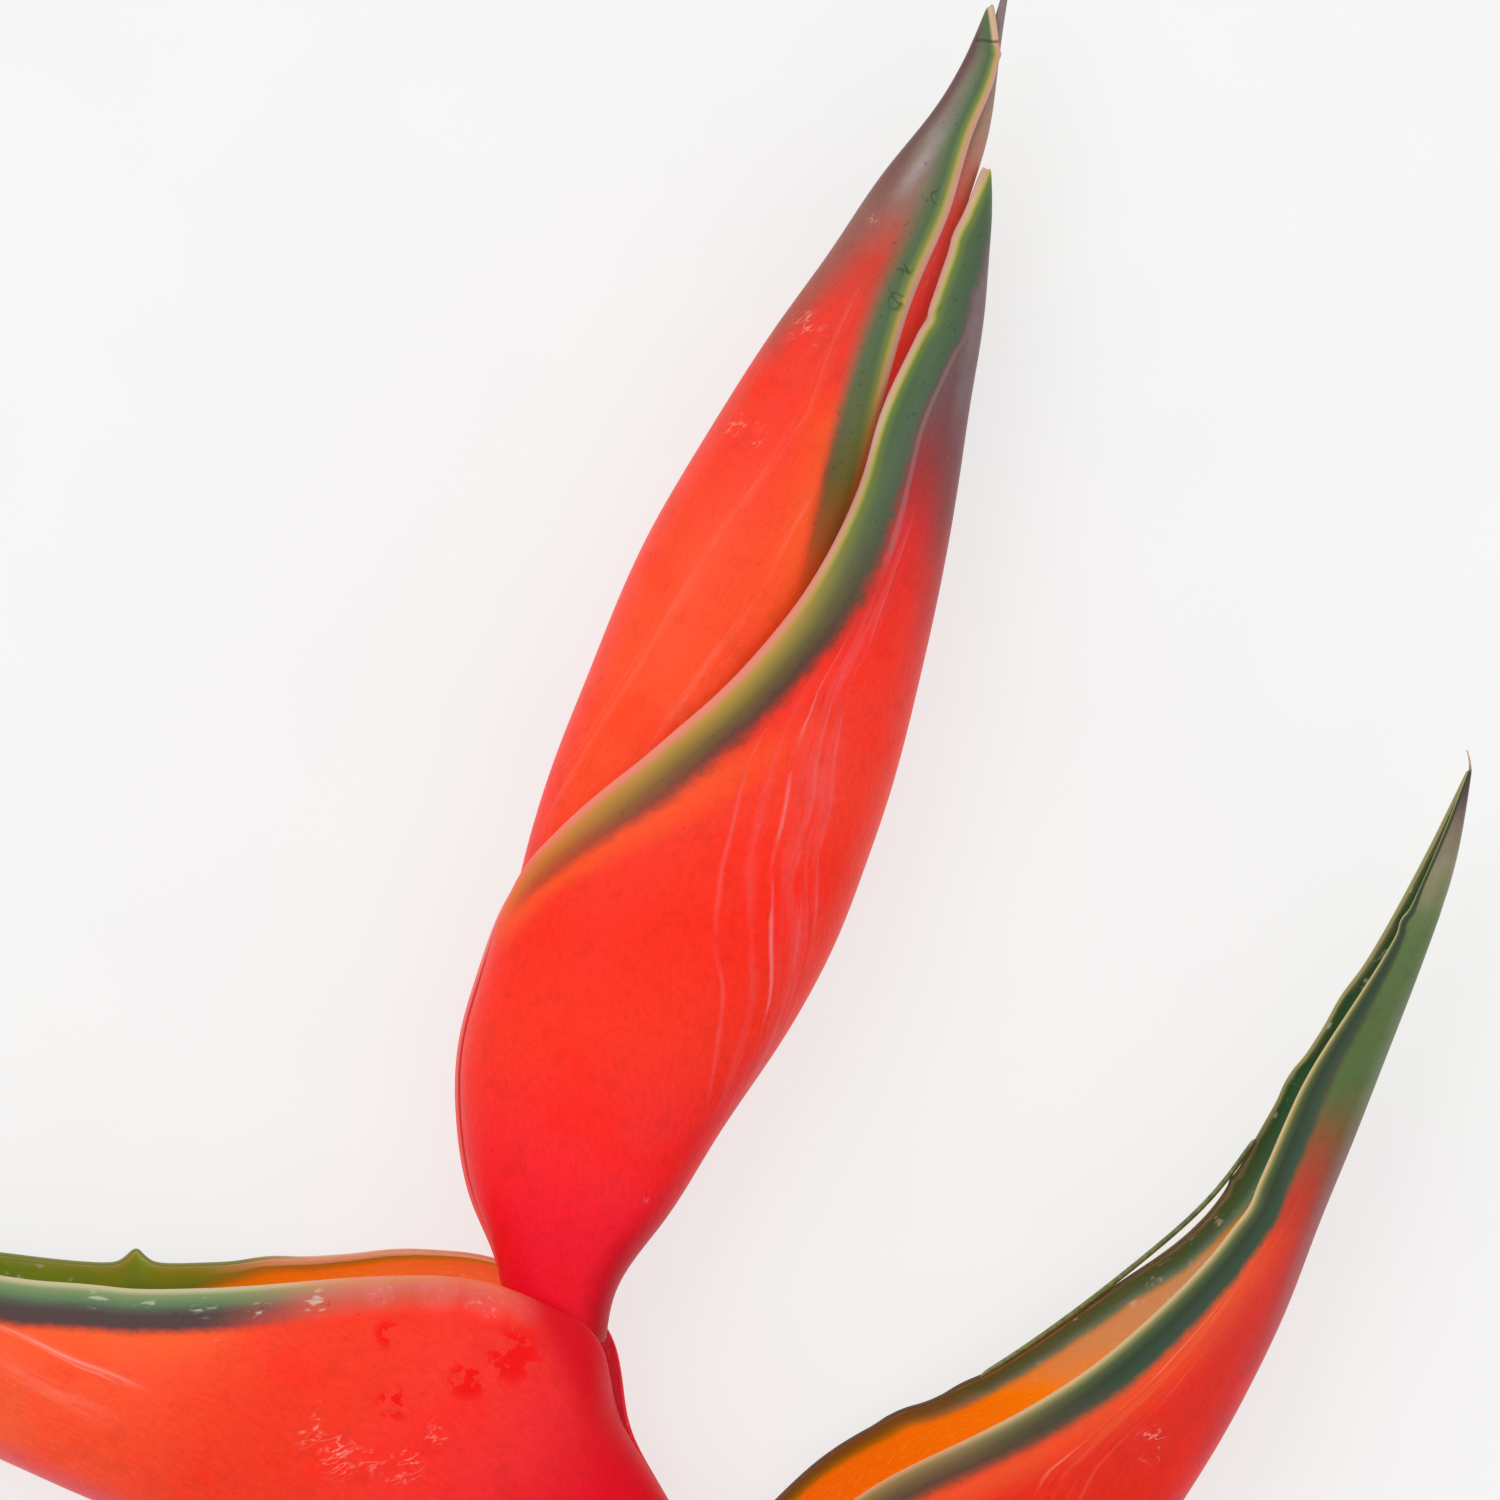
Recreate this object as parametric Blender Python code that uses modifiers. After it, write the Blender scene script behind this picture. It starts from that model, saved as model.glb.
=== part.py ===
"""A cut heliconia flower that lies on a surface.

The flower grows in one plane: its axis zigzags, and folded, boat-shaped bracts stand on it left and
right in turn, each one wrapped round the axis at its node and round the foot of the next bract.
The side view of the flower is drawn in millimetres, x to the right and y up, as it is seen from
above. Every bract is a sheet that runs from one lip round the keel to the other lip.
"""

import math

import bmesh
import bpy
import numpy as np
from mathutils import Vector
from mathutils.bvhtree import BVHTree

# Lengths in this script are millimetres, and place() turns them into metres.
MM = 0.001

# The flower's axis leans this many degrees to the left in the side view.
LEAN = 25.0
# This point of the side view lies over the origin.
DRAWING_ORIGIN = (25.4, -160.0)
# The flower's middle plane is this high above the surface that it lies on.
MIDDLE_HEIGHT = 14.9

# Neighbours keep this gap, with an allowance for the flat faces of the coarse mesh.
GAP = 0.3
FACET_ALLOWANCE = 0.4
PUSH_ROUNDS = 8
PUSH_REACH = 3.0

# Walls of the bracts: thickest on the flanks, thin at the foot, the lips and the tip. The shares
# say how much of the bract's length, or of a flank's width, the wall takes to reach full thickness.
WALL = 1.4
FOOT_WALL = 0.8
FOOT_SHARE = 0.18
LIP_WALL = 0.7
LIP_SHARE = 0.3
TIP_WALL = 0.6
TIP_SHARE = 0.45

# Rows along a bract from foot to tip, and columns from lip to lip.
BRACT_ROWS = 30
BRACT_COLUMNS = 16

# The stem: x, y, height over the surface, radius, from the cut end up to the last node.
STEM_RADIUS = 5.9
STEM_PATH = [
    (99.6, -384.2, STEM_RADIUS, STEM_RADIUS),
    (92.8, -365.4, STEM_RADIUS, STEM_RADIUS),
    (85.9, -346.6, 6.3, 5.9),
    (68.4, -299.8, 8.8, 5.9),
    (50.1, -253.3, 11.9, 5.85),
    (31.0, -207.1, 14.3, 5.8),
    (11.1, -161.2, MIDDLE_HEIGHT, 5.6),
    (1.0, -138.0, MIDDLE_HEIGHT, 5.4),
    (-7.8, -118.3, MIDDLE_HEIGHT, 5.3),
    (-17.9, -97.5, MIDDLE_HEIGHT, 5.1),
    (-23.9, -86.0, MIDDLE_HEIGHT, 5.0),
    (-25.1, -77.4, MIDDLE_HEIGHT, 5.0),
    (-27.0, -64.0, MIDDLE_HEIGHT, 4.7),
    (-28.5, -50.0, MIDDLE_HEIGHT, 4.4),
    (-26.5, -36.0, MIDDLE_HEIGHT, 3.8),
    (-22.5, -22.0, MIDDLE_HEIGHT, 3.2),
]
STEM_STEPS = 70
STEM_SIDES = 24

# Each bract has its node on the stem: x, y, the stem's heading there in degrees and its radius.
# Then come its stations from foot to tip, with the keel's x and y, the near lip's x and y, the half
# width of the bract, the half gap between its lips, and how far the far lip stands over the near one.
# In the sheath round the stem, the two lips nearly meet.
SEAM_GAP = 0.4
LEAST_GAP = 0.35
WIDEST_GAP_SHARE = 0.96
BRACTS = {
    "bract_1": {
        "node": (11.1, -161.2, 114.0, 5.7),
        "keel_side": 1,
        "stations": [
            (21.5, -150.5, 1.0, -152.0, 8.4, SEAM_GAP, 1.0),
            (26.5, -142.8, -4.6, -142.0, 10.4, SEAM_GAP, 2.0),
            (33.0, -134.0, -9.8, -132.5, 12.4, SEAM_GAP, 2.3),
            (38.0, -126.3, -15.5, -123.7, 13.8, 2.4, 2.5),
            (43.0, -118.5, -14.2, -117.0, 14.8, 7.0, 3.0),
            (47.5, -111.5, -8.5, -113.0, 15.8, 9.0, 4.5),
            (52.0, -104.5, 1.5, -107.0, 16.1, 9.0, 5.5),
            (57.5, -96.0, 13.0, -97.1, 15.8, 8.0, 6.2),
            (63.8, -85.2, 28.5, -89.0, 14.2, 7.0, 6.0),
            (69.5, -73.5, 44.0, -80.0, 12.4, 6.3, 6.4),
            (74.0, -62.0, 55.5, -70.0, 10.2, 5.2, 5.6),
            (78.7, -50.3, 64.6, -58.6, 8.0, 4.2, 3.8),
            (83.4, -38.5, 71.5, -43.8, 5.8, 3.0, 1.6),
            (88.5, -25.0, 81.6, -28.0, 4.0, 2.2, 1.5),
            (92.0, -13.5, 88.3, -15.0, 2.5, 1.5, 1.1),
            (94.4, -2.0, 92.0, -2.6, 1.5, 0.9, 0.2),
        ],
    },
    "bract_2": {
        "node": (-7.8, -118.3, 115.0, 5.3),
        "keel_side": -1,
        "stations": [
            (-18.6, -117.9, -7.2, -106.8, 7.9, SEAM_GAP, 1.0),
            (-26.0, -113.4, -12.9, -97.4, 9.6, SEAM_GAP, 1.9),
            (-36.0, -110.4, -17.6, -86.8, 11.6, SEAM_GAP, 1.8),
            (-44.0, -108.9, -19.0, -77.6, 13.4, 4.4, 1.6),
            (-52.0, -107.5, -25.7, -72.0, 14.7, 8.1, 2.0),
            (-60.0, -105.9, -34.0, -68.6, 15.6, 8.8, 2.5),
            (-71.5, -102.7, -48.0, -68.0, 15.8, 8.3, 2.7),
            (-85.9, -97.5, -64.4, -69.2, 15.4, 7.5, 2.8),
            (-97.5, -92.4, -80.9, -69.7, 14.2, 6.4, 2.8),
            (-111.0, -86.3, -97.5, -67.9, 12.0, 5.2, 2.5),
            (-127.0, -78.3, -118.0, -64.8, 8.8, 3.8, 1.9),
            (-143.0, -69.6, -138.0, -61.0, 5.6, 2.3, 1.2),
            (-156.0, -62.3, -153.5, -58.2, 3.1, 1.5, 0.6),
            (-165.0, -57.8, -164.0, -55.2, 1.5, 0.9, 0.2),
        ],
    },
    "bract_3": {
        "node": (-25.1, -77.4, 94.0, 5.0),
        "keel_side": 1,
        "stations": [
            (-17.3, -70.3, -32.2, -68.5, 7.4, SEAM_GAP, 0.3),
            (-11.2, -61.6, -35.6, -59.0, 10.2, SEAM_GAP, 0.6),
            (-4.5, -51.0, -37.6, -48.5, 13.0, SEAM_GAP, 0.7),
            (4.5, -37.6, -37.2, -37.0, 15.2, SEAM_GAP, 0.7),
            (12.0, -23.5, -34.2, -26.5, 16.0, 0.5, 0.6),
            (15.6, -14.0, -31.8, -19.6, 16.0, 3.6, 0.3),
            (18.0, -7.0, -28.2, -14.2, 16.0, 7.8, 0.1),
            (20.4, 1.5, -22.8, -9.4, 15.6, 10.0, 0.0),
            (23.2, 13.5, -12.0, -1.8, 14.8, 13.2, 0.0),
            (25.7, 26.0, -0.8, 10.7, 13.8, 12.6, 0.0),
            (27.7, 37.5, 8.2, 22.3, 12.0, 10.4, 0.0),
            (29.2, 47.5, 14.2, 34.5, 9.8, 7.8, 0.0),
            (30.5, 56.5, 18.7, 46.3, 7.0, 5.2, 0.0),
            (31.1, 64.0, 23.0, 57.0, 5.2, 4.2, 0.0),
            (31.5, 70.5, 26.6, 66.5, 3.4, 2.8, 0.0),
            (31.8, 75.8, 29.4, 74.4, 1.6, 1.1, 0.0),
        ],
    },
    "bract_4": {
        "node": (-28.5, -50.0, 88.0, 4.4),
        "keel_side": -1,
        "stations": [
            (-34.6, -41.0, -19.5, -41.0, 6.4, SEAM_GAP, 0.0),
            (-33.4, -32.0, -14.0, -31.0, 7.8, 0.5, 0.0),
            (-31.5, -23.5, -8.5, -21.0, 9.0, 1.0, 0.0),
            (-29.5, -14.0, -3.0, -11.0, 10.2, 2.0, 0.0),
            (-26.0, -2.5, 2.5, -1.0, 11.4, 2.6, 0.0),
            (-21.8, 8.5, 7.5, 9.5, 11.7, 3.0, 0.0),
            (-17.5, 19.0, 11.5, 20.0, 11.3, 3.3, 0.0),
            (-11.8, 31.0, 14.5, 31.5, 10.3, 3.8, 0.0),
            (-4.5, 43.0, 16.8, 41.5, 8.9, 4.4, 0.0),
            (3.0, 54.8, 19.2, 51.8, 7.6, 4.6, 0.0),
            (10.3, 65.0, 22.1, 61.5, 6.4, 4.3, 0.0),
            (17.8, 75.8, 25.7, 72.3, 5.1, 3.6, 0.0),
            (23.7, 83.4, 28.9, 82.0, 3.7, 2.6, 0.0),
            (27.4, 90.5, 30.6, 89.3, 2.5, 1.7, 0.0),
            (29.6, 96.8, 31.9, 95.8, 1.5, 1.0, 0.0),
        ],
    },
}

# The closed bract at the top: its keel and its other edge from foot to tip, and its half width at
# shares of its length.
BUD_KEEL = [
    (-19.4, -19.5),
    (-13.5, -17.0),
    (-7.0, -6.0),
    (0.0, 6.0),
    (5.5, 18.0),
    (10.5, 30.0),
    (16.0, 42.0),
    (21.6, 53.5),
    (25.8, 63.5),
    (28.6, 72.0),
    (31.0, 80.0),
    (33.4, 89.0),
    (34.8, 97.0),
    (35.4, 104.0),
]
BUD_BACK = [
    (-19.4, -19.5),
    (-23.4, -13.0),
    (-21.0, -2.5),
    (-16.8, 8.0),
    (-12.2, 19.5),
    (-5.6, 32.5),
    (2.4, 45.0),
    (10.3, 56.5),
    (17.2, 66.8),
    (22.8, 75.6),
    (27.6, 82.8),
    (31.4, 89.2),
    (33.8, 96.5),
    (35.4, 104.0),
]
BUD_WIDTHS = [
    (0.0, 0.0),
    (0.06, 4.2),
    (0.18, 6.8),
    (0.36, 7.6),
    (0.5, 6.0),
    (0.6, 4.2),
    (0.7, 2.6),
    (0.82, 1.3),
    (0.92, 0.8),
    (1.0, 0.0),
]
BUD_RINGS = 26
BUD_SIDES = 14

# The true flowers are still in bud, a small bunch in the axil of each open bract: where their
# bunch starts in the side view, which way it points in degrees, and the turn between its buds.
FLOWER_BUNCHES = {
    "flowers_1": {"start": (13.2, -150.6), "heading": 75.0, "turn": -6.0},
    "flowers_2": {"start": (-17.2, -112.6), "heading": 143.0, "turn": 4.5},
}
FLOWER_BUDS = 5
FLOWER_LENGTH = 27.0
FLOWER_SHORTENING = 0.06
# A bud's half thickness at shares of its length.
FLOWER_PROFILE = [
    (0.0, 0.0),
    (0.12, 1.5),
    (0.45, 1.9),
    (0.8, 1.3),
    (1.0, 0.0),
]
FLOWER_RINGS = 8
FLOWER_SIDES = 8
# Every other bud leans up from the bract's middle plane, and those between lean down.
FLOWER_SPREAD = 2.4
FLOWER_STRAIGHT_SHARE = 0.7

COLOURS = {
    "stem": (0.12, 0.24, 0.06),
    "bract": (0.86, 0.05, 0.02),
    "tip_bud": (0.55, 0.05, 0.03),
    "flowers": (0.62, 0.55, 0.12),
}
ROUGHNESS = 0.38


def clear_scene():
    for item in list(bpy.data.objects):
        bpy.data.objects.remove(item)


def make_collection():
    collection = bpy.data.collections.new("heliconia_flower")
    bpy.context.scene.collection.children.link(collection)
    return collection


def make_material(name, colour):
    material = bpy.data.materials.new(name)
    material.use_nodes = True
    shader = material.node_tree.nodes["Principled BSDF"]
    shader.inputs["Base Color"].default_value = (*colour, 1.0)
    shader.inputs["Roughness"].default_value = ROUGHNESS
    return material


def place(x, y, height):
    """Turns a point of the side view upright and gives its place in metres."""
    turn = math.radians(LEAN)
    dx = x - DRAWING_ORIGIN[0]
    dy = y - DRAWING_ORIGIN[1]
    across = dx * math.cos(turn) + dy * math.sin(turn)
    along = dy * math.cos(turn) - dx * math.sin(turn)
    return Vector((across, along, height)) * MM


def spline(points, steps):
    """Draws a smooth line of steps + 1 points, equally far apart, through rows of numbers."""
    rows = np.array(points, dtype=float)
    knots = np.concatenate([[0.0], np.cumsum(np.linalg.norm(np.diff(rows[:, :2], axis=0), axis=1))])
    spans = np.diff(knots)
    count = len(rows)
    matrix = np.eye(count)
    slopes = np.zeros_like(rows)
    for i in range(1, count - 1):
        matrix[i, i - 1 : i + 2] = (spans[i - 1], 2 * (spans[i - 1] + spans[i]), spans[i])
        rise = (rows[i + 1] - rows[i]) / spans[i]
        run = (rows[i] - rows[i - 1]) / spans[i - 1]
        slopes[i] = 6 * (rise - run)
    bends = np.linalg.solve(matrix, slopes)
    wanted = np.linspace(0.0, knots[-1], steps + 1)
    line = []
    for where in wanted:
        i = min(int(np.searchsorted(knots, where, side="right")) - 1, count - 2)
        span = spans[i]
        after = (where - knots[i]) / span
        before = 1 - after
        curve = (before**3 - before) * bends[i] + (after**3 - after) * bends[i + 1]
        line.append(before * rows[i] + after * rows[i + 1] + curve * span * span / 6)
    return np.array(line)


def stations_of(bract):
    """Puts the round foot of a bract before its stations."""
    x, y, heading, radius = bract["node"]
    foot = radius + GAP + FOOT_WALL
    side = bract["keel_side"] * foot
    right = (math.sin(math.radians(heading)), -math.cos(math.radians(heading)))
    ring = (x + side * right[0], y + side * right[1], x - side * right[0], y - side * right[1])
    return [(*ring, foot, SEAM_GAP, 0.0)] + bract["stations"]


def bract_points(bract):
    """Works out the outer surface of a bract as rows of points from the near lip to the far one."""
    rows = spline(stations_of(bract), BRACT_ROWS)
    points = np.zeros((BRACT_ROWS + 1, BRACT_COLUMNS + 1, 3))
    for i, (keel_x, keel_y, lip_x, lip_y, width, gap, over) in enumerate(rows):
        gap = min(max(gap, LEAST_GAP), WIDEST_GAP_SHARE * width)
        keel = np.array((keel_x, keel_y))
        near = np.array((lip_x, lip_y))
        ahead = rows[min(i + 1, BRACT_ROWS), 2:4] - rows[max(i - 1, 0), 2:4]
        outward = np.array((-ahead[1], ahead[0])) / np.linalg.norm(ahead)
        outward *= math.copysign(1.0, outward.dot(near - keel))
        last = math.pi - math.asin(gap / width)
        for j in range(BRACT_COLUMNS + 1):
            share = 2 * j / BRACT_COLUMNS - 1
            angle = abs(share) * last
            lip = near if share < 0 else near + outward * over
            spot = keel + (lip - keel) * (1 - math.cos(angle)) / (1 - math.cos(last))
            points[i, j, :2] = spot
            points[i, j, 2] = MIDDLE_HEIGHT - math.copysign(width * math.sin(angle), share)
    return points


def wall_shares():
    """Gives the wall's thickness at each point of a bract as a share of WALL."""
    along = np.linspace(0.0, 1.0, BRACT_ROWS + 1)[:, None]
    across = np.abs(np.linspace(-1.0, 1.0, BRACT_COLUMNS + 1))[None, :]
    foot = np.clip(along / FOOT_SHARE, 0.0, 1.0)
    tip = np.clip((1.0 - along) / TIP_SHARE, 0.0, 1.0)
    lip = np.clip((1.0 - across) / LIP_SHARE, 0.0, 1.0)
    thick = FOOT_WALL + (WALL - FOOT_WALL) * foot
    thick = np.minimum(thick, TIP_WALL + (WALL - TIP_WALL) * tip)
    thick = np.minimum(thick, LIP_WALL + (WALL - LIP_WALL) * lip * np.ones_like(along))
    thick = np.maximum(thick, TIP_WALL)
    return thick / WALL


def blur(field):
    """Averages each value of a grid with its neighbours."""
    padded = np.pad(field, 1, mode="edge")
    sides = padded[:-2, 1:-1] + padded[2:, 1:-1] + padded[1:-1, :-2] + padded[1:-1, 2:]
    return 0.5 * field + 0.125 * sides


def outward_normals(points):
    """Gives the direction out of the bract at each point of its surface."""
    along, across = np.gradient(points, axis=(0, 1))
    normals = np.cross(along, across)
    normals /= np.maximum(np.linalg.norm(normals, axis=2, keepdims=True), 1e-9)
    if np.sum(normals[..., 2] * (points[..., 2] - MIDDLE_HEIGHT)) < 0:
        normals = -normals
    return normals


def push_clear(points, inner_trees):
    """Moves a bract's surface outward off the pieces that it encloses, and its neighbourhood a little."""
    needed = wall_shares() * WALL + GAP + FACET_ALLOWANCE
    moved = points.copy()
    for step in range(PUSH_ROUNDS):
        normals = outward_normals(moved)
        shift = np.zeros(moved.shape[:2])
        for i, j in np.ndindex(shift.shape):
            here = Vector(moved[i, j])
            outward = Vector(normals[i, j])
            for tree in inner_trees:
                distance = tree.find_nearest(here)[3]
                shift[i, j] = max(shift[i, j], needed[i, j] - distance)
                _, face_normal, _, depth = tree.ray_cast(here, outward, PUSH_REACH)
                if face_normal is not None and face_normal.dot(outward) > 0:
                    shift[i, j] = max(shift[i, j], needed[i, j] + depth)
        if step < PUSH_ROUNDS // 2:
            shift = np.maximum(shift, blur(blur(shift)))
        moved = moved + normals * shift[..., None]
    return moved


def grid_mesh(points):
    """Lays a grid over rows of points, with its faces pointing out of the bract."""
    rows, columns = points.shape[0] - 1, points.shape[1] - 1
    sheet = bmesh.new()
    bmesh.ops.create_grid(sheet, x_segments=rows, y_segments=columns, size=1.0)
    thickness = sheet.verts.layers.deform.new()
    shares = wall_shares()
    for vert in sheet.verts:
        i = round((vert.co.x + 1) / 2 * rows)
        j = round((vert.co.y + 1) / 2 * columns)
        vert.co = points[i, j]
        vert[thickness][0] = float(shares[i, j])
    return sheet


def face_outward(sheet):
    """Turns a sheet so that its faces point away from the middle plane."""
    sheet.normal_update()
    outward = sum(f.normal.z * (f.calc_center_median().z - MIDDLE_HEIGHT) for f in sheet.faces)
    if outward < 0:
        bmesh.ops.reverse_faces(sheet, faces=sheet.faces[:])


def lay_down(mesh):
    """Moves a mesh from the drawing to its place, and flattens it where it meets the surface."""
    for vert in mesh.verts:
        spot = place(vert.co.x, vert.co.y, max(vert.co.z, 0.0))
        vert.co = spot


def add_object(name, mesh_data, colour, collection):
    item = bpy.data.objects.new(name, mesh_data)
    collection.objects.link(item)
    mesh_data.materials.append(make_material(name, colour))
    mesh_data.shade_smooth()
    return item


def finish_mesh(name, mesh, colour, collection):
    data = bpy.data.meshes.new(name)
    mesh.to_mesh(data)
    mesh.free()
    return add_object(name, data, colour, collection)


def make_bract(name, inner_trees, collection):
    points = push_clear(bract_points(BRACTS[name]), inner_trees)
    sheet = grid_mesh(points)
    face_outward(sheet)
    tree = BVHTree.FromBMesh(sheet)
    lay_down(sheet)
    item = finish_mesh(name, sheet, COLOURS["bract"], collection)
    item.vertex_groups.new(name="wall")
    solidify = item.modifiers.new("wall", "SOLIDIFY")
    solidify.thickness = WALL * MM
    solidify.offset = -1.0
    solidify.vertex_group = "wall"
    solidify.thickness_vertex_group = 0.0
    return tree


def spindle(keel, back, widths, rings, sides):
    """Makes a closed spindle between two edges, from a sphere whose poles are foot and tip."""
    keel_line = spline(keel, rings)
    back_line = spline(back, rings)
    body = bmesh.new()
    bmesh.ops.create_uvsphere(body, u_segments=sides, v_segments=rings, radius=1.0)
    shares = [share for share, _ in widths]
    values = [value for _, value in widths]
    for vert in body.verts:
        share = math.acos(max(-1.0, min(1.0, vert.co.z))) / math.pi
        ring = min(rings, round(share * rings))
        angle = math.atan2(vert.co.y, vert.co.x)
        wide = float(np.interp(share, shares, values))
        across = keel_line[ring] + (back_line[ring] - keel_line[ring]) * (1 - math.cos(angle)) / 2
        if ring in (0, rings):
            wide = 0.0
        vert.co = Vector((across[0], across[1], MIDDLE_HEIGHT + wide * math.sin(angle)))
    if body.calc_volume(signed=True) < 0:
        bmesh.ops.reverse_faces(body, faces=body.faces[:])
    return body


def make_tip_bud(collection):
    bud = spindle(BUD_KEEL, BUD_BACK, BUD_WIDTHS, BUD_RINGS, BUD_SIDES)
    tree = BVHTree.FromBMesh(bud)
    lay_down(bud)
    finish_mesh("tip_bud", bud, COLOURS["tip_bud"], collection)
    return tree


def make_stem(collection):
    """Makes the stem and the zigzag axis as one tube whose radius tapers."""
    path = spline(STEM_PATH, STEM_STEPS)
    curve = bpy.data.curves.new("stem", "CURVE")
    curve.dimensions = "3D"
    curve.bevel_depth = MM
    curve.bevel_resolution = 4
    curve.use_fill_caps = True
    line = curve.splines.new("POLY")
    line.points.add(len(path) - 1)
    for point, (x, y, height, radius) in zip(line.points, path):
        point.co = (*place(x, y, height), 1.0)
        point.radius = radius
    guide = bpy.data.objects.new("stem_guide", curve)
    collection.objects.link(guide)
    bpy.context.view_layer.update()
    seen = guide.evaluated_get(bpy.context.evaluated_depsgraph_get())
    data = bpy.data.meshes.new_from_object(seen)
    data.name = "stem"
    bpy.data.objects.remove(guide)
    tube = bmesh.new()
    tube.from_mesh(data)
    bmesh.ops.remove_doubles(tube, verts=tube.verts[:], dist=0.00001)
    for vert in tube.verts:
        vert.co.z = max(vert.co.z, 0.0)
    bmesh.ops.recalc_face_normals(tube, faces=tube.faces[:])
    tube.to_mesh(data)
    tube.free()
    data.materials.clear()
    add_object("stem", data, COLOURS["stem"], collection)
    return stem_tree(path)


def stem_tree(path):
    """Gives the stem's surface in the drawing's millimetres, for the bracts round it."""
    tube = bmesh.new()
    steps = len(path) - 1
    bmesh.ops.create_grid(tube, x_segments=steps, y_segments=STEM_SIDES, size=1.0)
    for vert in tube.verts:
        i = round((vert.co.x + 1) / 2 * steps)
        angle = (vert.co.y + 1) * math.pi
        ahead = path[min(i + 1, steps)] - path[max(i - 1, 0)]
        right = Vector((ahead[1], -ahead[0], 0.0)).normalized()
        x, y, height, radius = path[i]
        turned = right * math.cos(angle) + Vector((0.0, 0.0, 1.0)) * math.sin(angle)
        vert.co = Vector((x, y, height)) + turned * radius
    tube.normal_update()
    first = tube.faces[:][0]
    if first.normal.dot(first.calc_center_median() - Vector(path[0][:3])) < 0:
        bmesh.ops.reverse_faces(tube, faces=tube.faces[:])
    tree = BVHTree.FromBMesh(tube)
    tube.free()
    return tree


def make_flower_bud(bunch, number):
    """Makes one slender bud of a bunch, counted from 0."""
    step = number - (FLOWER_BUDS - 1) / 2
    heading = math.radians(bunch["heading"] + bunch["turn"] * step)
    length = FLOWER_LENGTH * (1 - FLOWER_SHORTENING * number)
    ahead = np.array((math.cos(heading), math.sin(heading)))
    right = np.array((ahead[1], -ahead[0]))
    start = np.array(bunch["start"])
    keel = []
    back = []
    for share, thickness in FLOWER_PROFILE:
        middle = start + ahead * length * share
        keel.append(tuple(middle + right * thickness))
        back.append(tuple(middle - right * thickness))
    bud = spindle(keel, back, FLOWER_PROFILE, FLOWER_RINGS, FLOWER_SIDES)
    side = 1 if number % 2 else -1
    for vert in bud.verts:
        reach = (Vector(vert.co[:2]) - Vector(start)).length / length
        vert.co.z += side * FLOWER_SPREAD * min(reach, FLOWER_STRAIGHT_SHARE)
    return bud


def make_flowers(name, collection):
    """Makes a bunch of flower buds that are joined at their feet."""
    buds = bpy.data.collections.new(name + "_buds")
    bpy.context.scene.collection.children.link(buds)
    items = []
    for number in range(FLOWER_BUDS):
        bud = make_flower_bud(FLOWER_BUNCHES[name], number)
        lay_down(bud)
        items.append(finish_mesh(f"{name}_{number}", bud, COLOURS["flowers"], buds))
    first = items[0]
    for other in items[1:]:
        join = first.modifiers.new("join", "BOOLEAN")
        join.operation = "UNION"
        join.solver = "EXACT"
        join.object = other
    bpy.context.view_layer.update()
    seen = first.evaluated_get(bpy.context.evaluated_depsgraph_get())
    data = bpy.data.meshes.new_from_object(seen)
    data.name = name
    for item in items:
        bpy.data.objects.remove(item)
    bpy.data.collections.remove(buds)
    data.materials.clear()
    add_object(name, data, COLOURS["flowers"], collection)


def build():
    clear_scene()
    collection = make_collection()
    stem = make_stem(collection)
    bud = make_tip_bud(collection)
    inner = make_bract("bract_4", [stem, bud], collection)
    outer = make_bract("bract_3", [stem, bud, inner], collection)
    left = make_bract("bract_2", [stem, outer], collection)
    make_bract("bract_1", [stem, outer, left], collection)
    for name in FLOWER_BUNCHES:
        make_flowers(name, collection)


build()
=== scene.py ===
# %% [markdown]
# # A cut heliconia flower
#
# What looks like one big flower is a row of stiff folded leaves, called bracts, that stand left and
# right in turn on a zigzag axis. Each bract is shaped like a boat: it is folded along its keel, and its
# two lips part towards the tip. The true flowers are small and sit in the bottom of each boat.
# Here the packed model gives the place and size of each piece, and this script gives the looks.

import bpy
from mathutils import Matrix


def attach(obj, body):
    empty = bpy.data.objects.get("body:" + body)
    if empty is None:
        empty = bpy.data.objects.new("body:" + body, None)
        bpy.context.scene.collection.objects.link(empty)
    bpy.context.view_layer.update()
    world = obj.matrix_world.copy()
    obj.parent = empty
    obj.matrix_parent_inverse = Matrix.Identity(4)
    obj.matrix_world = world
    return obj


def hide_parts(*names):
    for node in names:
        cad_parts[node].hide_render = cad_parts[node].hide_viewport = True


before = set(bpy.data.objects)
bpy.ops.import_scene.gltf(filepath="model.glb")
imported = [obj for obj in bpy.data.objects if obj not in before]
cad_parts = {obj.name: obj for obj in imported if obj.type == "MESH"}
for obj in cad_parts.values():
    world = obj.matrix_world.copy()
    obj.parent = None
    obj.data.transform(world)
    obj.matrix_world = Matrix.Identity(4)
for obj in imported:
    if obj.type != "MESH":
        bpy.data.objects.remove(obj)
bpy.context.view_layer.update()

# %% Tools and units
import math

import bmesh
import bpy
import numpy as np
from mathutils import Vector, noise
from mathutils.bvhtree import BVHTree

# Lengths in this script are millimetres, and place() turns them into metres.
MM = 0.001
# This keeps a division by nothing away.
TINY = 1e-9
print("one millimetre is", MM, "metres")

# %% [markdown]
# ## The side view
#
# The flower grows in one plane, so it is drawn as a side view in millimetres, x to the right and y up,
# and this view is what the camera sees from above. The whole drawing is turned a little, so that the
# flower lies straight along the model's longest side. A free transform of every piece would also do,
# but one function that places a point keeps the pieces and their patterns in the same frame.

# %% From the side view to the frame
LEAN = 25.0
DRAWING_ORIGIN = (25.4, -160.0)
MIDDLE_HEIGHT = 14.9
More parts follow.
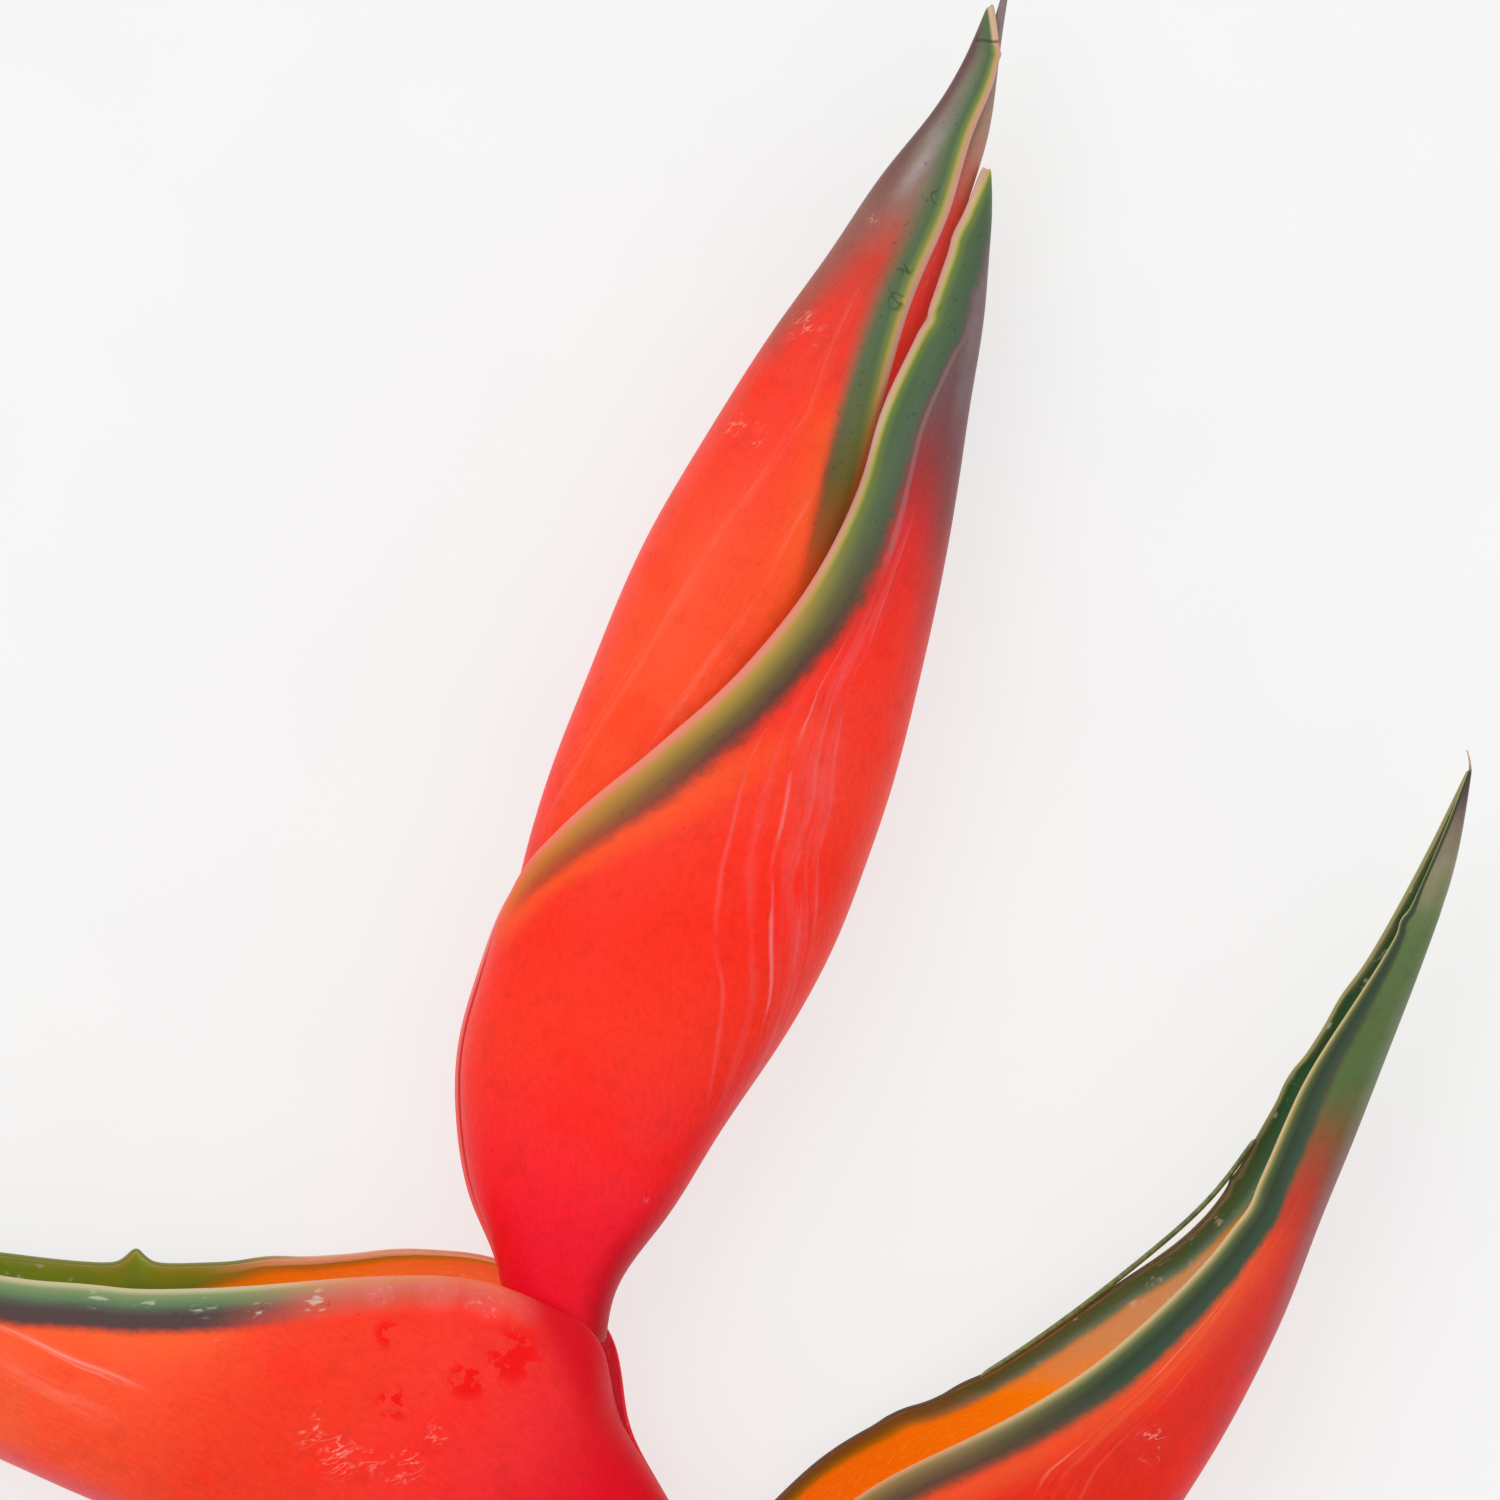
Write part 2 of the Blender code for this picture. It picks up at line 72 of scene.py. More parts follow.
# One pixel of the photograph at the flower's middle plane, and the pixel in the photograph's middle.
PIXEL = 0.13
MIDDLE_PIXEL = 750


def place(x, y, height):
    """Turns a point of the side view upright and gives its place in metres."""
    turn = math.radians(LEAN)
    dx = x - DRAWING_ORIGIN[0]
    dy = y - DRAWING_ORIGIN[1]
    across = dx * math.cos(turn) + dy * math.sin(turn)
    along = dy * math.cos(turn) - dx * math.sin(turn)
    return Vector((across, along, height)) * MM


def from_photo(column, row):
    """Gives the side view's x and y of a pixel of the photograph."""
    return (column - MIDDLE_PIXEL) * PIXEL, (MIDDLE_PIXEL - row) * PIXEL


print("the photograph's middle lies at", tuple(place(0, 0, MIDDLE_HEIGHT)))

# %% [markdown]
# ## Smooth lines
#
# A leaf has no corners, so each of its lines is a curve through a few chosen points. A Bezier curve
# object could draw it, but here the same curve also has to carry widths and gaps along. A natural cubic
# does that: it passes through every row of numbers and bends as a thin strip of wood would.


# %% A curve through rows of numbers
def natural_cubic(knots, rows, wanted):
    """Draws a natural cubic through the rows of numbers at the knots, and reads it at other places."""
    spans = np.diff(knots)
    count = len(knots)
    matrix = np.eye(count)
    slopes = np.zeros_like(rows)
    for i in range(1, count - 1):
        matrix[i, i - 1 : i + 2] = (spans[i - 1], 2 * (spans[i - 1] + spans[i]), spans[i])
        rise = (rows[i + 1] - rows[i]) / spans[i]
        run = (rows[i] - rows[i - 1]) / spans[i - 1]
        slopes[i] = 6 * (rise - run)
    bends = np.linalg.solve(matrix, slopes)
    i = np.clip(np.searchsorted(knots, wanted, side="right") - 1, 0, count - 2)
    after = ((wanted - knots[i]) / spans[i])[:, None]
    before = 1 - after
    curve = (before**3 - before) * bends[i] + (after**3 - after) * bends[i + 1]
    return before * rows[i] + after * rows[i + 1] + curve * spans[i][:, None] ** 2 / 6


def smooth_line(points, shares):
    """Reads a smooth line through points at shares of its length, which the first two columns give."""
    rows = np.array(points, dtype=float)
    lengths = np.linalg.norm(np.diff(rows[:, :2], axis=0), axis=1)
    knots = np.concatenate([[0.0], np.cumsum(lengths)])
    return natural_cubic(knots, rows, np.asarray(shares) * knots[-1])


print("a smooth line halfway:", smooth_line([(0, 0), (10, 0), (10, 10)], [0.5])[0])

# %% [markdown]
# ## The stem's line
#
# The stem and the zigzag axis that carries the bracts grew as one piece. Its line is a list of places
# with the stem's radius there. The cut end lies on the surface, and the rest rises to the middle plane.

# %% The stem's places and radii
STEM_RADIUS = 5.9
# Each place: x and y in the side view, its height, and the radius there. The cut end comes first.
STEM_PATH = [
    (99.6, -384.2, STEM_RADIUS, STEM_RADIUS),
    (92.8, -365.4, STEM_RADIUS, STEM_RADIUS),
    (85.9, -346.6, 6.3, 5.9),
    (68.4, -299.8, 8.8, 5.9),
    (50.1, -253.3, 11.9, 5.85),
    (31.0, -207.1, 14.3, 5.8),
    (11.1, -161.2, MIDDLE_HEIGHT, 5.6),
    (1.0, -138.0, MIDDLE_HEIGHT, 5.4),
    (-7.8, -118.3, MIDDLE_HEIGHT, 5.3),
    (-17.9, -97.5, MIDDLE_HEIGHT, 5.1),
    (-23.9, -86.0, MIDDLE_HEIGHT, 5.0),
    (-25.1, -77.4, MIDDLE_HEIGHT, 5.0),
    (-27.0, -64.0, MIDDLE_HEIGHT, 4.7),
    (-28.5, -50.0, MIDDLE_HEIGHT, 4.4),
    (-26.5, -36.0, MIDDLE_HEIGHT, 3.8),
    (-22.5, -22.0, MIDDLE_HEIGHT, 3.2),
]
print("the stem has", len(STEM_PATH), "chosen places")

# %% [markdown]
# ## The bracts' lines
#
# A bract is cut into stations from its foot to its tip. Each station says where the keel and the near
# lip are, how thick the bract is towards the viewer, how far its lips stand apart, and how far the far
# lip shows over the near one. At the foot a bract is a closed sheath round the stem. These numbers are
# the same as in the packed model, so the finer bracts here lie where the plain ones are.

# %% The stations of each bract
GAP = 0.3
FOOT_WALL = 0.8
SEAM_GAP = 0.4
LEAST_GAP = 0.35
WIDEST_GAP_SHARE = 0.96
# Each bract grows from a node: x, y, its heading in degrees and the stem's radius. Each station is the
# keel's x and y, the near lip's x and y, the width towards the viewer, the gap and the far lip's lead.
BRACTS = {
    "bract_1": {
        "node": (11.1, -161.2, 114.0, 5.7),
        "keel_side": 1,
        "stations": [
            (21.5, -150.5, 1.0, -152.0, 8.4, SEAM_GAP, 1.0),
            (26.5, -142.8, -4.6, -142.0, 10.4, SEAM_GAP, 2.0),
            (33.0, -134.0, -9.8, -132.5, 12.4, SEAM_GAP, 2.3),
            (38.0, -126.3, -15.5, -123.7, 13.8, 2.4, 2.5),
            (43.0, -118.5, -14.2, -117.0, 14.8, 7.0, 3.0),
            (47.5, -111.5, -8.5, -113.0, 15.8, 9.0, 4.5),
            (52.0, -104.5, 1.5, -107.0, 16.1, 9.0, 5.5),
            (57.5, -96.0, 13.0, -97.1, 15.8, 8.0, 6.2),
            (63.8, -85.2, 28.5, -89.0, 14.2, 7.0, 6.0),
            (69.5, -73.5, 44.0, -80.0, 12.4, 6.3, 6.4),
            (74.0, -62.0, 55.5, -70.0, 10.2, 5.2, 5.6),
            (78.7, -50.3, 64.6, -58.6, 8.0, 4.2, 3.8),
            (83.4, -38.5, 71.5, -43.8, 5.8, 3.0, 1.6),
            (88.5, -25.0, 81.6, -28.0, 4.0, 2.2, 1.5),
            (92.0, -13.5, 88.3, -15.0, 2.5, 1.5, 1.1),
            (94.4, -2.0, 92.0, -2.6, 1.5, 0.9, 0.2),
        ],
    },
    "bract_2": {
        "node": (-7.8, -118.3, 115.0, 5.3),
        "keel_side": -1,
        "stations": [
            (-18.6, -117.9, -7.2, -106.8, 7.9, SEAM_GAP, 1.0),
            (-26.0, -113.4, -12.9, -97.4, 9.6, SEAM_GAP, 1.9),
            (-36.0, -110.4, -17.6, -86.8, 11.6, SEAM_GAP, 1.8),
            (-44.0, -108.9, -19.0, -77.6, 13.4, 4.4, 1.6),
            (-52.0, -107.5, -25.7, -72.0, 14.7, 8.1, 2.0),
            (-60.0, -105.9, -34.0, -68.6, 15.6, 8.8, 2.5),
            (-71.5, -102.7, -48.0, -68.0, 15.8, 8.3, 2.7),
            (-85.9, -97.5, -64.4, -69.2, 15.4, 7.5, 2.8),
            (-97.5, -92.4, -80.9, -69.7, 14.2, 6.4, 2.8),
            (-111.0, -86.3, -97.5, -67.9, 12.0, 5.2, 2.5),
            (-127.0, -78.3, -118.0, -64.8, 8.8, 3.8, 1.9),
            (-143.0, -69.6, -138.0, -61.0, 5.6, 2.3, 1.2),
            (-156.0, -62.3, -153.5, -58.2, 3.1, 1.5, 0.6),
            (-165.0, -57.8, -164.0, -55.2, 1.5, 0.9, 0.2),
        ],
    },
    "bract_3": {
        "node": (-25.1, -77.4, 94.0, 5.0),
        "keel_side": 1,
        "stations": [
            (-17.3, -70.3, -32.2, -68.5, 7.4, SEAM_GAP, 0.3),
            (-11.2, -61.6, -35.6, -59.0, 10.2, SEAM_GAP, 0.6),
            (-4.5, -51.0, -37.6, -48.5, 13.0, SEAM_GAP, 0.7),
            (4.5, -37.6, -37.2, -37.0, 15.2, SEAM_GAP, 0.7),
            (12.0, -23.5, -34.2, -26.5, 16.0, 0.5, 0.6),
            (15.6, -14.0, -31.8, -19.6, 16.0, 3.6, 0.3),
            (18.0, -7.0, -28.2, -14.2, 16.0, 7.8, 0.1),
            (20.4, 1.5, -22.8, -9.4, 15.6, 10.0, 0.0),
            (23.2, 13.5, -12.0, -1.8, 14.8, 13.2, 0.0),
            (25.7, 26.0, -0.8, 10.7, 13.8, 12.6, 0.0),
            (27.7, 37.5, 8.2, 22.3, 12.0, 10.4, 0.0),
            (29.2, 47.5, 14.2, 34.5, 9.8, 7.8, 0.0),
            (30.5, 56.5, 18.7, 46.3, 7.0, 5.2, 0.0),
            (31.1, 64.0, 23.0, 57.0, 5.2, 4.2, 0.0),
            (31.5, 70.5, 26.6, 66.5, 3.4, 2.8, 0.0),
            (31.8, 75.8, 29.4, 74.4, 1.6, 1.1, 0.0),
        ],
    },
    "bract_4": {
        "node": (-28.5, -50.0, 88.0, 4.4),
        "keel_side": -1,
        "stations": [
            (-34.6, -41.0, -19.5, -41.0, 6.4, SEAM_GAP, 0.0),
            (-33.4, -32.0, -14.0, -31.0, 7.8, 0.5, 0.0),
            (-31.5, -23.5, -8.5, -21.0, 9.0, 1.0, 0.0),
            (-29.5, -14.0, -3.0, -11.0, 10.2, 2.0, 0.0),
            (-26.0, -2.5, 2.5, -1.0, 11.4, 2.6, 0.0),
            (-21.8, 8.5, 7.5, 9.5, 11.7, 3.0, 0.0),
            (-17.5, 19.0, 11.5, 20.0, 11.3, 3.3, 0.0),
            (-11.8, 31.0, 14.5, 31.5, 10.3, 3.8, 0.0),
            (-4.5, 43.0, 16.8, 41.5, 8.9, 4.4, 0.0),
            (3.0, 54.8, 19.2, 51.8, 7.6, 4.6, 0.0),
            (10.3, 65.0, 22.1, 61.5, 6.4, 4.3, 0.0),
            (17.8, 75.8, 25.7, 72.3, 5.1, 3.6, 0.0),
            (23.7, 83.4, 28.9, 82.0, 3.7, 2.6, 0.0),
            (27.4, 90.5, 30.6, 89.3, 2.5, 1.7, 0.0),
            (29.6, 96.8, 31.9, 95.8, 1.5, 1.0, 0.0),
        ],
    },
}


def stations_of(bract):
    """Puts the round foot of a bract before its stations."""
    x, y, heading, radius = bract["node"]
    foot = radius + GAP + FOOT_WALL
    side = bract["keel_side"] * foot
    right = (math.sin(math.radians(heading)), -math.cos(math.radians(heading)))
    ring = (x + side * right[0], y + side * right[1], x - side * right[0], y - side * right[1])
    return [(*ring, foot, SEAM_GAP, 0.0)] + bract["stations"]


print("stations:", {name: len(stations_of(bract)) for name, bract in BRACTS.items()})

# %% [markdown]
# ## The sheet of a bract
#
# Between two stations the bract's cross-section is part of an ellipse that opens at the lips. A sheet
# of points is laid over it: rows run from foot to tip, and columns from the near lip round the keel to
# the far lip. It could also be sculpted, but a formula keeps the lips where the side view draws them.


# %% Points of the sheet
def bract_sheet(stations, along, across, shut=0.0):
    """Gives the outer surface of a bract, with rows at shares of its length and columns from lip to lip."""
    rows = smooth_line(stations, along)
    shut = np.broadcast_to(shut, along.shape)
    points = np.zeros((len(along), len(across), 3))
    for i, (keel_x, keel_y, lip_x, lip_y, width, gap, over) in enumerate(rows):
        gap = min(max(gap, LEAST_GAP), WIDEST_GAP_SHARE * width) - shut[i]
        keel = np.array((keel_x, keel_y))
        near = np.array((lip_x, lip_y))
        ahead = rows[min(i + 1, len(rows) - 1), 2:4] - rows[max(i - 1, 0), 2:4]
        outward = np.array((-ahead[1], ahead[0])) / np.linalg.norm(ahead)
        outward *= math.copysign(1.0, outward.dot(near - keel))
        last = math.pi - math.asin(gap / width)
        angle = np.abs(across) * last
        lip = np.where(across[:, None] < 0, near, near + outward * over)
        reach = (1 - np.cos(angle)) / (1 - math.cos(last))
        points[i, :, :2] = keel + (lip - keel) * reach[:, None]
        points[i, :, 2] = MIDDLE_HEIGHT - np.sign(across) * width * np.sin(angle)
    return points


def outward_normals(points):
    """Gives the direction out of the bract at each point of its surface."""
    along, across = np.gradient(points, axis=(0, 1))
    normals = np.cross(along, across)
    normals /= np.maximum(np.linalg.norm(normals, axis=2, keepdims=True), TINY)
    if np.sum(normals[..., 2] * (points[..., 2] - MIDDLE_HEIGHT)) < 0:
        normals = -normals
    return normals


COARSE_ALONG = np.linspace(0.0, 1.0, 31)
COARSE_ACROSS = np.linspace(-1.0, 1.0, 17)
print("a coarse bract has", len(COARSE_ALONG) * len(COARSE_ACROSS), "points")

# %% [markdown]
# ## Walls
#
# A fresh bract is about a millimetre and a half thick on its flanks and thins out at its foot, its
# lips and its tip. The Solidify modifier can follow a vertex group, so the wall is stored as a weight.

# %% How thick the wall is
WALL = 1.4
FOOT_SHARE = 0.18
LIP_WALL = 0.7
LIP_SHARE = 0.3
TIP_WALL = 0.6
TIP_SHARE = 0.45


def wall_shares(along, across):
    """Gives the wall's thickness over a sheet as a share of WALL."""
    foot = np.clip(along / FOOT_SHARE, 0.0, 1.0)[:, None]
    tip = np.clip((1.0 - along) / TIP_SHARE, 0.0, 1.0)[:, None]
    lip = np.clip((1.0 - np.abs(across)) / LIP_SHARE, 0.0, 1.0)[None, :]
    thick = FOOT_WALL + (WALL - FOOT_WALL) * foot
    thick = np.minimum(thick, TIP_WALL + (WALL - TIP_WALL) * tip)
    thick = np.minimum(thick, LIP_WALL + (WALL - LIP_WALL) * lip)
    return np.maximum(thick, TIP_WALL) / WALL


print("thinnest wall:", round(WALL * wall_shares(COARSE_ALONG, COARSE_ACROSS).min(), 2), "mm")

# %% [markdown]
# ## Closed shapes between two edges
#
# The youngest bract is still rolled up, and so is each flower bud. Both are spindles, so they start
# as a sphere from bmesh, whose rings are then moved between two edges drawn in the side view.

# %% Spindles
BUD_KEEL = [
    (-19.4, -19.5), (-13.5, -17.0), (-7.0, -6.0), (0.0, 6.0), (5.5, 18.0), (10.5, 30.0), (16.0, 42.0),
    (21.6, 53.5), (25.8, 63.5), (28.6, 72.0), (31.0, 80.0), (33.4, 89.0), (34.8, 97.0), (35.4, 104.0),
]
BUD_BACK = [
    (-19.4, -19.5), (-23.4, -13.0), (-21.0, -2.5), (-16.8, 8.0), (-12.2, 19.5), (-5.6, 32.5),
    (2.4, 45.0), (10.3, 56.5), (17.2, 66.8), (22.8, 75.6), (27.6, 82.8), (31.4, 89.2), (33.8, 96.5),
    (35.4, 104.0),
]
BUD_WIDTHS = [
    (0.0, 0.0), (0.06, 4.2), (0.18, 6.8), (0.36, 7.6), (0.5, 6.0), (0.6, 4.2), (0.7, 2.6), (0.82, 1.3),
    (0.92, 0.8), (1.0, 0.0),
]


def spindle(keel, back, widths, rings, sides):
    """Makes a closed spindle between two edges, from a sphere whose poles are foot and tip."""
    stops = np.linspace(0.0, 1.0, rings + 1)
    keel_line = smooth_line(keel, stops)
    back_line = smooth_line(back, stops)
    shares = [share for share, _ in widths]
    values = [value for _, value in widths]
    body = bmesh.new()
    along_layer = body.verts.layers.float.new("along")
    turn_layer = body.verts.layers.float.new("turn")
    bmesh.ops.create_uvsphere(body, u_segments=sides, v_segments=rings, radius=1.0)
    for vert in body.verts:
        share = math.acos(max(-1.0, min(1.0, vert.co.z))) / math.pi
        ring = min(rings, round(share * rings))
        angle = math.atan2(vert.co.y, vert.co.x)
        wide = 0.0 if ring in (0, rings) else float(np.interp(share, shares, values))
        across = keel_line[ring] + (back_line[ring] - keel_line[ring]) * (1 - math.cos(angle)) / 2
        vert[along_layer] = ring / rings
        vert[turn_layer] = angle / math.pi
        vert.co = Vector((across[0], across[1], MIDDLE_HEIGHT + wide * math.sin(angle)))
    if body.calc_volume(signed=True) < 0:
        bmesh.ops.reverse_faces(body, faces=body.faces[:])
    return body


PLAIN_BUD_RINGS = 26
PLAIN_BUD_SIDES = 14
plain_bud = spindle(BUD_KEEL, BUD_BACK, BUD_WIDTHS, PLAIN_BUD_RINGS, PLAIN_BUD_SIDES)
print("the plain bud holds", round(plain_bud.calc_volume() * MM, 1), "cubic centimetres")

# %% [markdown]
# ## Keeping the wraps apart
#
# Each older bract wraps the foot of the next one. Where its sheet would come too close to what it
# wraps, it is moved outward along its own normals until there is room for its wall and a small gap.
# A shrinkwrap modifier could do this, but it can't tell how much room the wall behind the sheet needs.

# %% Push a sheet off what it wraps
FACET_ALLOWANCE = 0.4
PUSH_ROUNDS = 8
PUSH_REACH = 3.0


def blur(field):
    """Averages each value of a grid with its neighbours."""
    padded = np.pad(field, 1, mode="edge")
    sides = padded[:-2, 1:-1] + padded[2:, 1:-1] + padded[1:-1, :-2] + padded[1:-1, 2:]
    return 0.5 * field + 0.125 * sides


def push_clear(points, inner_trees):
    """Moves a bract's surface outward off the pieces that it wraps, and its neighbourhood a little."""
    needed = wall_shares(COARSE_ALONG, COARSE_ACROSS) * WALL + GAP + FACET_ALLOWANCE
    moved = points.copy()
    for step in range(PUSH_ROUNDS):
        normals = outward_normals(moved)
        shift = np.zeros(moved.shape[:2])
        for i, j in np.ndindex(shift.shape):
            here = Vector(moved[i, j])
            outward = Vector(normals[i, j])
            for tree in inner_trees:
                distance = tree.find_nearest(here)[3]
                shift[i, j] = max(shift[i, j], needed[i, j] - distance)
                _, face_normal, _, depth = tree.ray_cast(here, outward, PUSH_REACH)
                if face_normal is not None and face_normal.dot(outward) > 0:
                    shift[i, j] = max(shift[i, j], needed[i, j] + depth)
        if step < PUSH_ROUNDS // 2:
            shift = np.maximum(shift, blur(blur(shift)))
        moved = moved + normals * shift[..., None]
    return moved


def grid_of(points):
    """Lays a bmesh grid over rows of points, with its faces pointing away from the middle plane."""
    rows, columns = points.shape[0] - 1, points.shape[1] - 1
    sheet = bmesh.new()
    row_layer = sheet.verts.layers.int.new("row")
    column_layer = sheet.verts.layers.int.new("column")
    bmesh.ops.create_grid(sheet, x_segments=rows, y_segments=columns, size=1.0)
    for vert in sheet.verts:
        i = round((vert.co.x + 1) / 2 * rows)
        j = round((vert.co.y + 1) / 2 * columns)
        vert[row_layer] = i
        vert[column_layer] = j
        vert.co = points[i, j]
    sheet.normal_update()
    outward = sum(f.normal.z * (f.calc_center_median().z - MIDDLE_HEIGHT) for f in sheet.faces)
    if outward < 0:
        bmesh.ops.reverse_faces(sheet, faces=sheet.faces[:])
    return sheet


def tube_of(path, sides):
    """Lays a bmesh grid round a path of places and radii, with its faces pointing outward."""
    angles = np.linspace(0.0, 2 * math.pi, sides + 1)
    points = np.zeros((len(path), sides + 1, 3))
    for i, (x, y, height, radius) in enumerate(path):
        ahead = path[min(i + 1, len(path) - 1)] - path[max(i - 1, 0)]
        right = np.array((ahead[1], -ahead[0], 0.0)) / np.hypot(ahead[0], ahead[1])
        up = np.array((0.0, 0.0, 1.0))
        ring = np.outer(np.cos(angles), right) + np.outer(np.sin(angles), up)
        points[i] = np.array((x, y, height)) + ring * radius
    return grid_of(points)


PLAIN_STEM_RINGS = 70
PLAIN_STEM_SIDES = 24
plain_path = smooth_line(STEM_PATH, np.linspace(0.0, 1.0, PLAIN_STEM_RINGS + 1))
stem_tube = tube_of(plain_path, PLAIN_STEM_SIDES)
print("the plain stem has", len(stem_tube.faces), "faces")

# %% Push each bract off what it wraps
WRAPS = {
    "bract_4": ("stem", "tip_bud"),
    "bract_3": ("stem", "tip_bud", "bract_4"),
    "bract_2": ("stem", "bract_3"),
    "bract_1": ("stem", "bract_3", "bract_2"),
}
trees = {"stem": BVHTree.FromBMesh(stem_tube), "tip_bud": BVHTree.FromBMesh(plain_bud)}
moves = {}
for name, wrapped in WRAPS.items():
    plain = bract_sheet(stations_of(BRACTS[name]), COARSE_ALONG, COARSE_ACROSS)
    pushed = push_clear(plain, [trees[other] for other in wrapped])
    moves[name] = pushed - plain
    trees[name] = BVHTree.FromBMesh(grid_of(pushed))
    print(name, "moved out by up to", round(float(np.linalg.norm(moves[name], axis=2).max()), 2), "mm")

# %% [markdown]
# ## Fine bracts
#
# The plain bracts have broad facets and blunt tips. The fine ones are drawn from the same stations with
# many more rows and columns, closest together at the lips, where the real bract has its rolled rim,
# nicks and teeth. Their last stations are drawn out to a point, and the seams at their feet are shut.
# The push of the plain sheet is read in between with smooth curves, so both lie in the same place.

# %% Rows, columns and the push in between
EVEN_ROWS = np.linspace(0.0, 1.0, 121)
EVEN_COLUMNS = np.linspace(-1.0, 1.0, 49)
LIP_CROWDING = 0.35
FINE_ACROSS = EVEN_COLUMNS * (1 + LIP_CROWDING * (1 - np.abs(EVEN_COLUMNS)))
KEEL_COLUMN = len(FINE_ACROSS) // 2
# These stations take the place of the plain bract's last ones.
FINE_TIPS = {
    "bract_1": [(93.9, -2.3, 93.3, -2.6, 0.8, 0.4, 0.1)],
    "bract_2": [(-165.1, -57.3, -164.8, -56.5, 0.8, 0.4, 0.1)],
    "bract_3": [(31.35, 75.7, 30.9, 75.4, 1.2, 0.6, 0.0)],
    "bract_4": [
        (23.9, 83.3, 29.7, 82.1, 3.7, 2.6, 0.0),
        (28.1, 90.4, 32.3, 89.9, 2.6, 1.7, 0.0),
        (30.8, 96.7, 31.7, 97.0, 1.4, 0.8, 0.0),
    ],
}
SEAM_SHUT = 0.30
TIP_WALL_SHARE = 0.4


def fine_stations(name):
    """Gives the stations of a bract with its tip drawn out."""
    tip = FINE_TIPS[name]
    return stations_of(BRACTS[name])[: -len(tip)] + tip


def between(coarse, along):
    """Reads a coarse grid of moves at fine rows and columns."""
    rows, columns = coarse.shape[:2]
    tall = natural_cubic(COARSE_ALONG, coarse.reshape(rows, -1), along)
    turned = tall.reshape(len(along), columns, 3).transpose(1, 0, 2).reshape(columns, -1)
    wide = natural_cubic(COARSE_ACROSS, turned, FINE_ACROSS)
    return wide.reshape(len(FINE_ACROSS), len(along), 3).transpose(1, 0, 2)


def distance_to(line, points):
    """Gives the distance in the side view from every point of a sheet to a line."""
    start = line[:-1, :2]
    step = line[1:, :2] - start
    flat = points[..., :2].reshape(-1, 1, 2) - start
    share = np.clip((flat * step).sum(axis=2) / np.maximum((step * step).sum(axis=1), TINY), 0, 1)
    away = flat - share[..., None] * step
    return np.sqrt((away * away).sum(axis=2).min(axis=1)).reshape(points.shape[:2])


print("even rows and columns:", len(EVEN_ROWS), len(FINE_ACROSS))

# %% [markdown]
# ## Lips
#
# The lip of a bract is a thin cut edge. It waves a little, and here and there it is nicked or keeps a
# tooth from the time when the bract was rolled up. Below it the bract swells into a soft round rim.
# Each of these is a small move of the points next to the lip that fades out into the flank. Where there
# is a tooth, the sheet gets more rows, so that the tooth can be sharp without making all of it heavier.

# %% What each lip is like
# Where the lips part, how much they wave, how far the rim swells, and the teeth: the photograph's
# pixel, the height and half width in millimetres, which lip has it (-1 for the near one), and its shape.
LIPS = {
    "bract_1": {
        "opens": 0.24,
        "wave": 0.06,
        "rim": 0.34,
        "teeth": [
            (893, 1406, 0.4, 1.7, 1, "round"),
            (960, 1384, 0.3, 1.6, 1, "round"),
            (1182, 1226, -1.1, 10.0, 1, "round"),
            (1226, 1176, 0.35, 0.6, 1, "sharp"),
            (1297, 1083, 0.4, 1.6, 1, "round"),
            (1345, 1000, 0.4, 2.4, 1, "round"),
            (1404, 922, 0.4, 1.0, -1, "round"),
            (1243, 1203, -0.3, 1.8, -1, "round"),
        ],
    },
    "bract_2": {
        "opens": 0.19,
        "wave": 0.12,
        "rim": 0.34,
        "teeth": [
            (134, 1256, 2.1, 1.15, 1, "sharp"),
            (268, 1264, 0.4, 2.5, 1, "round"),
            (90, 1275, 0.4, 4.0, -1, "round"),
            (395, 1262, 0.3, 3.0, 1, "round"),
        ],
    },
    "bract_3": {
        "opens": 0.42,
        "wave": 0.08,
        "rim": 0.42,
        "teeth": [
            (924, 320, -0.35, 0.9, -1, "sharp"),
            (640, 762, 1.9, 11.0, -1, "round"),
            (524, 863, 0.3, 3.0, -1, "round"),
            (958, 236, 0.25, 1.2, -1, "round"),
        ],
    },
    "bract_4": {
        "opens": 0.45,
        "wave": 0.08,
        "rim": 0.16,
        "teeth": [(999, 55, 0.4, 0.8, -1, "sharp"), (941, 210, 1.1, 8.0, -1, "round")],
    },
}
print("teeth and nicks:", sum(len(lips["teeth"]) for lips in LIPS.values()))

# %% More rows where there are teeth
ROWS_PER_TOOTH = 12
REACH_OF_ROWS = 2.6
NARROW_TOOTH = 2.0
CLOSEST_ROWS = 0.25
LIP_SAMPLES = 801


def smoothstep(low, high, value):
    """Rises smoothly from 0 at low to 1 at high."""
    share = np.clip((value - low) / (high - low), 0.0, 1.0)
    return share * share * (3 - 2 * share)


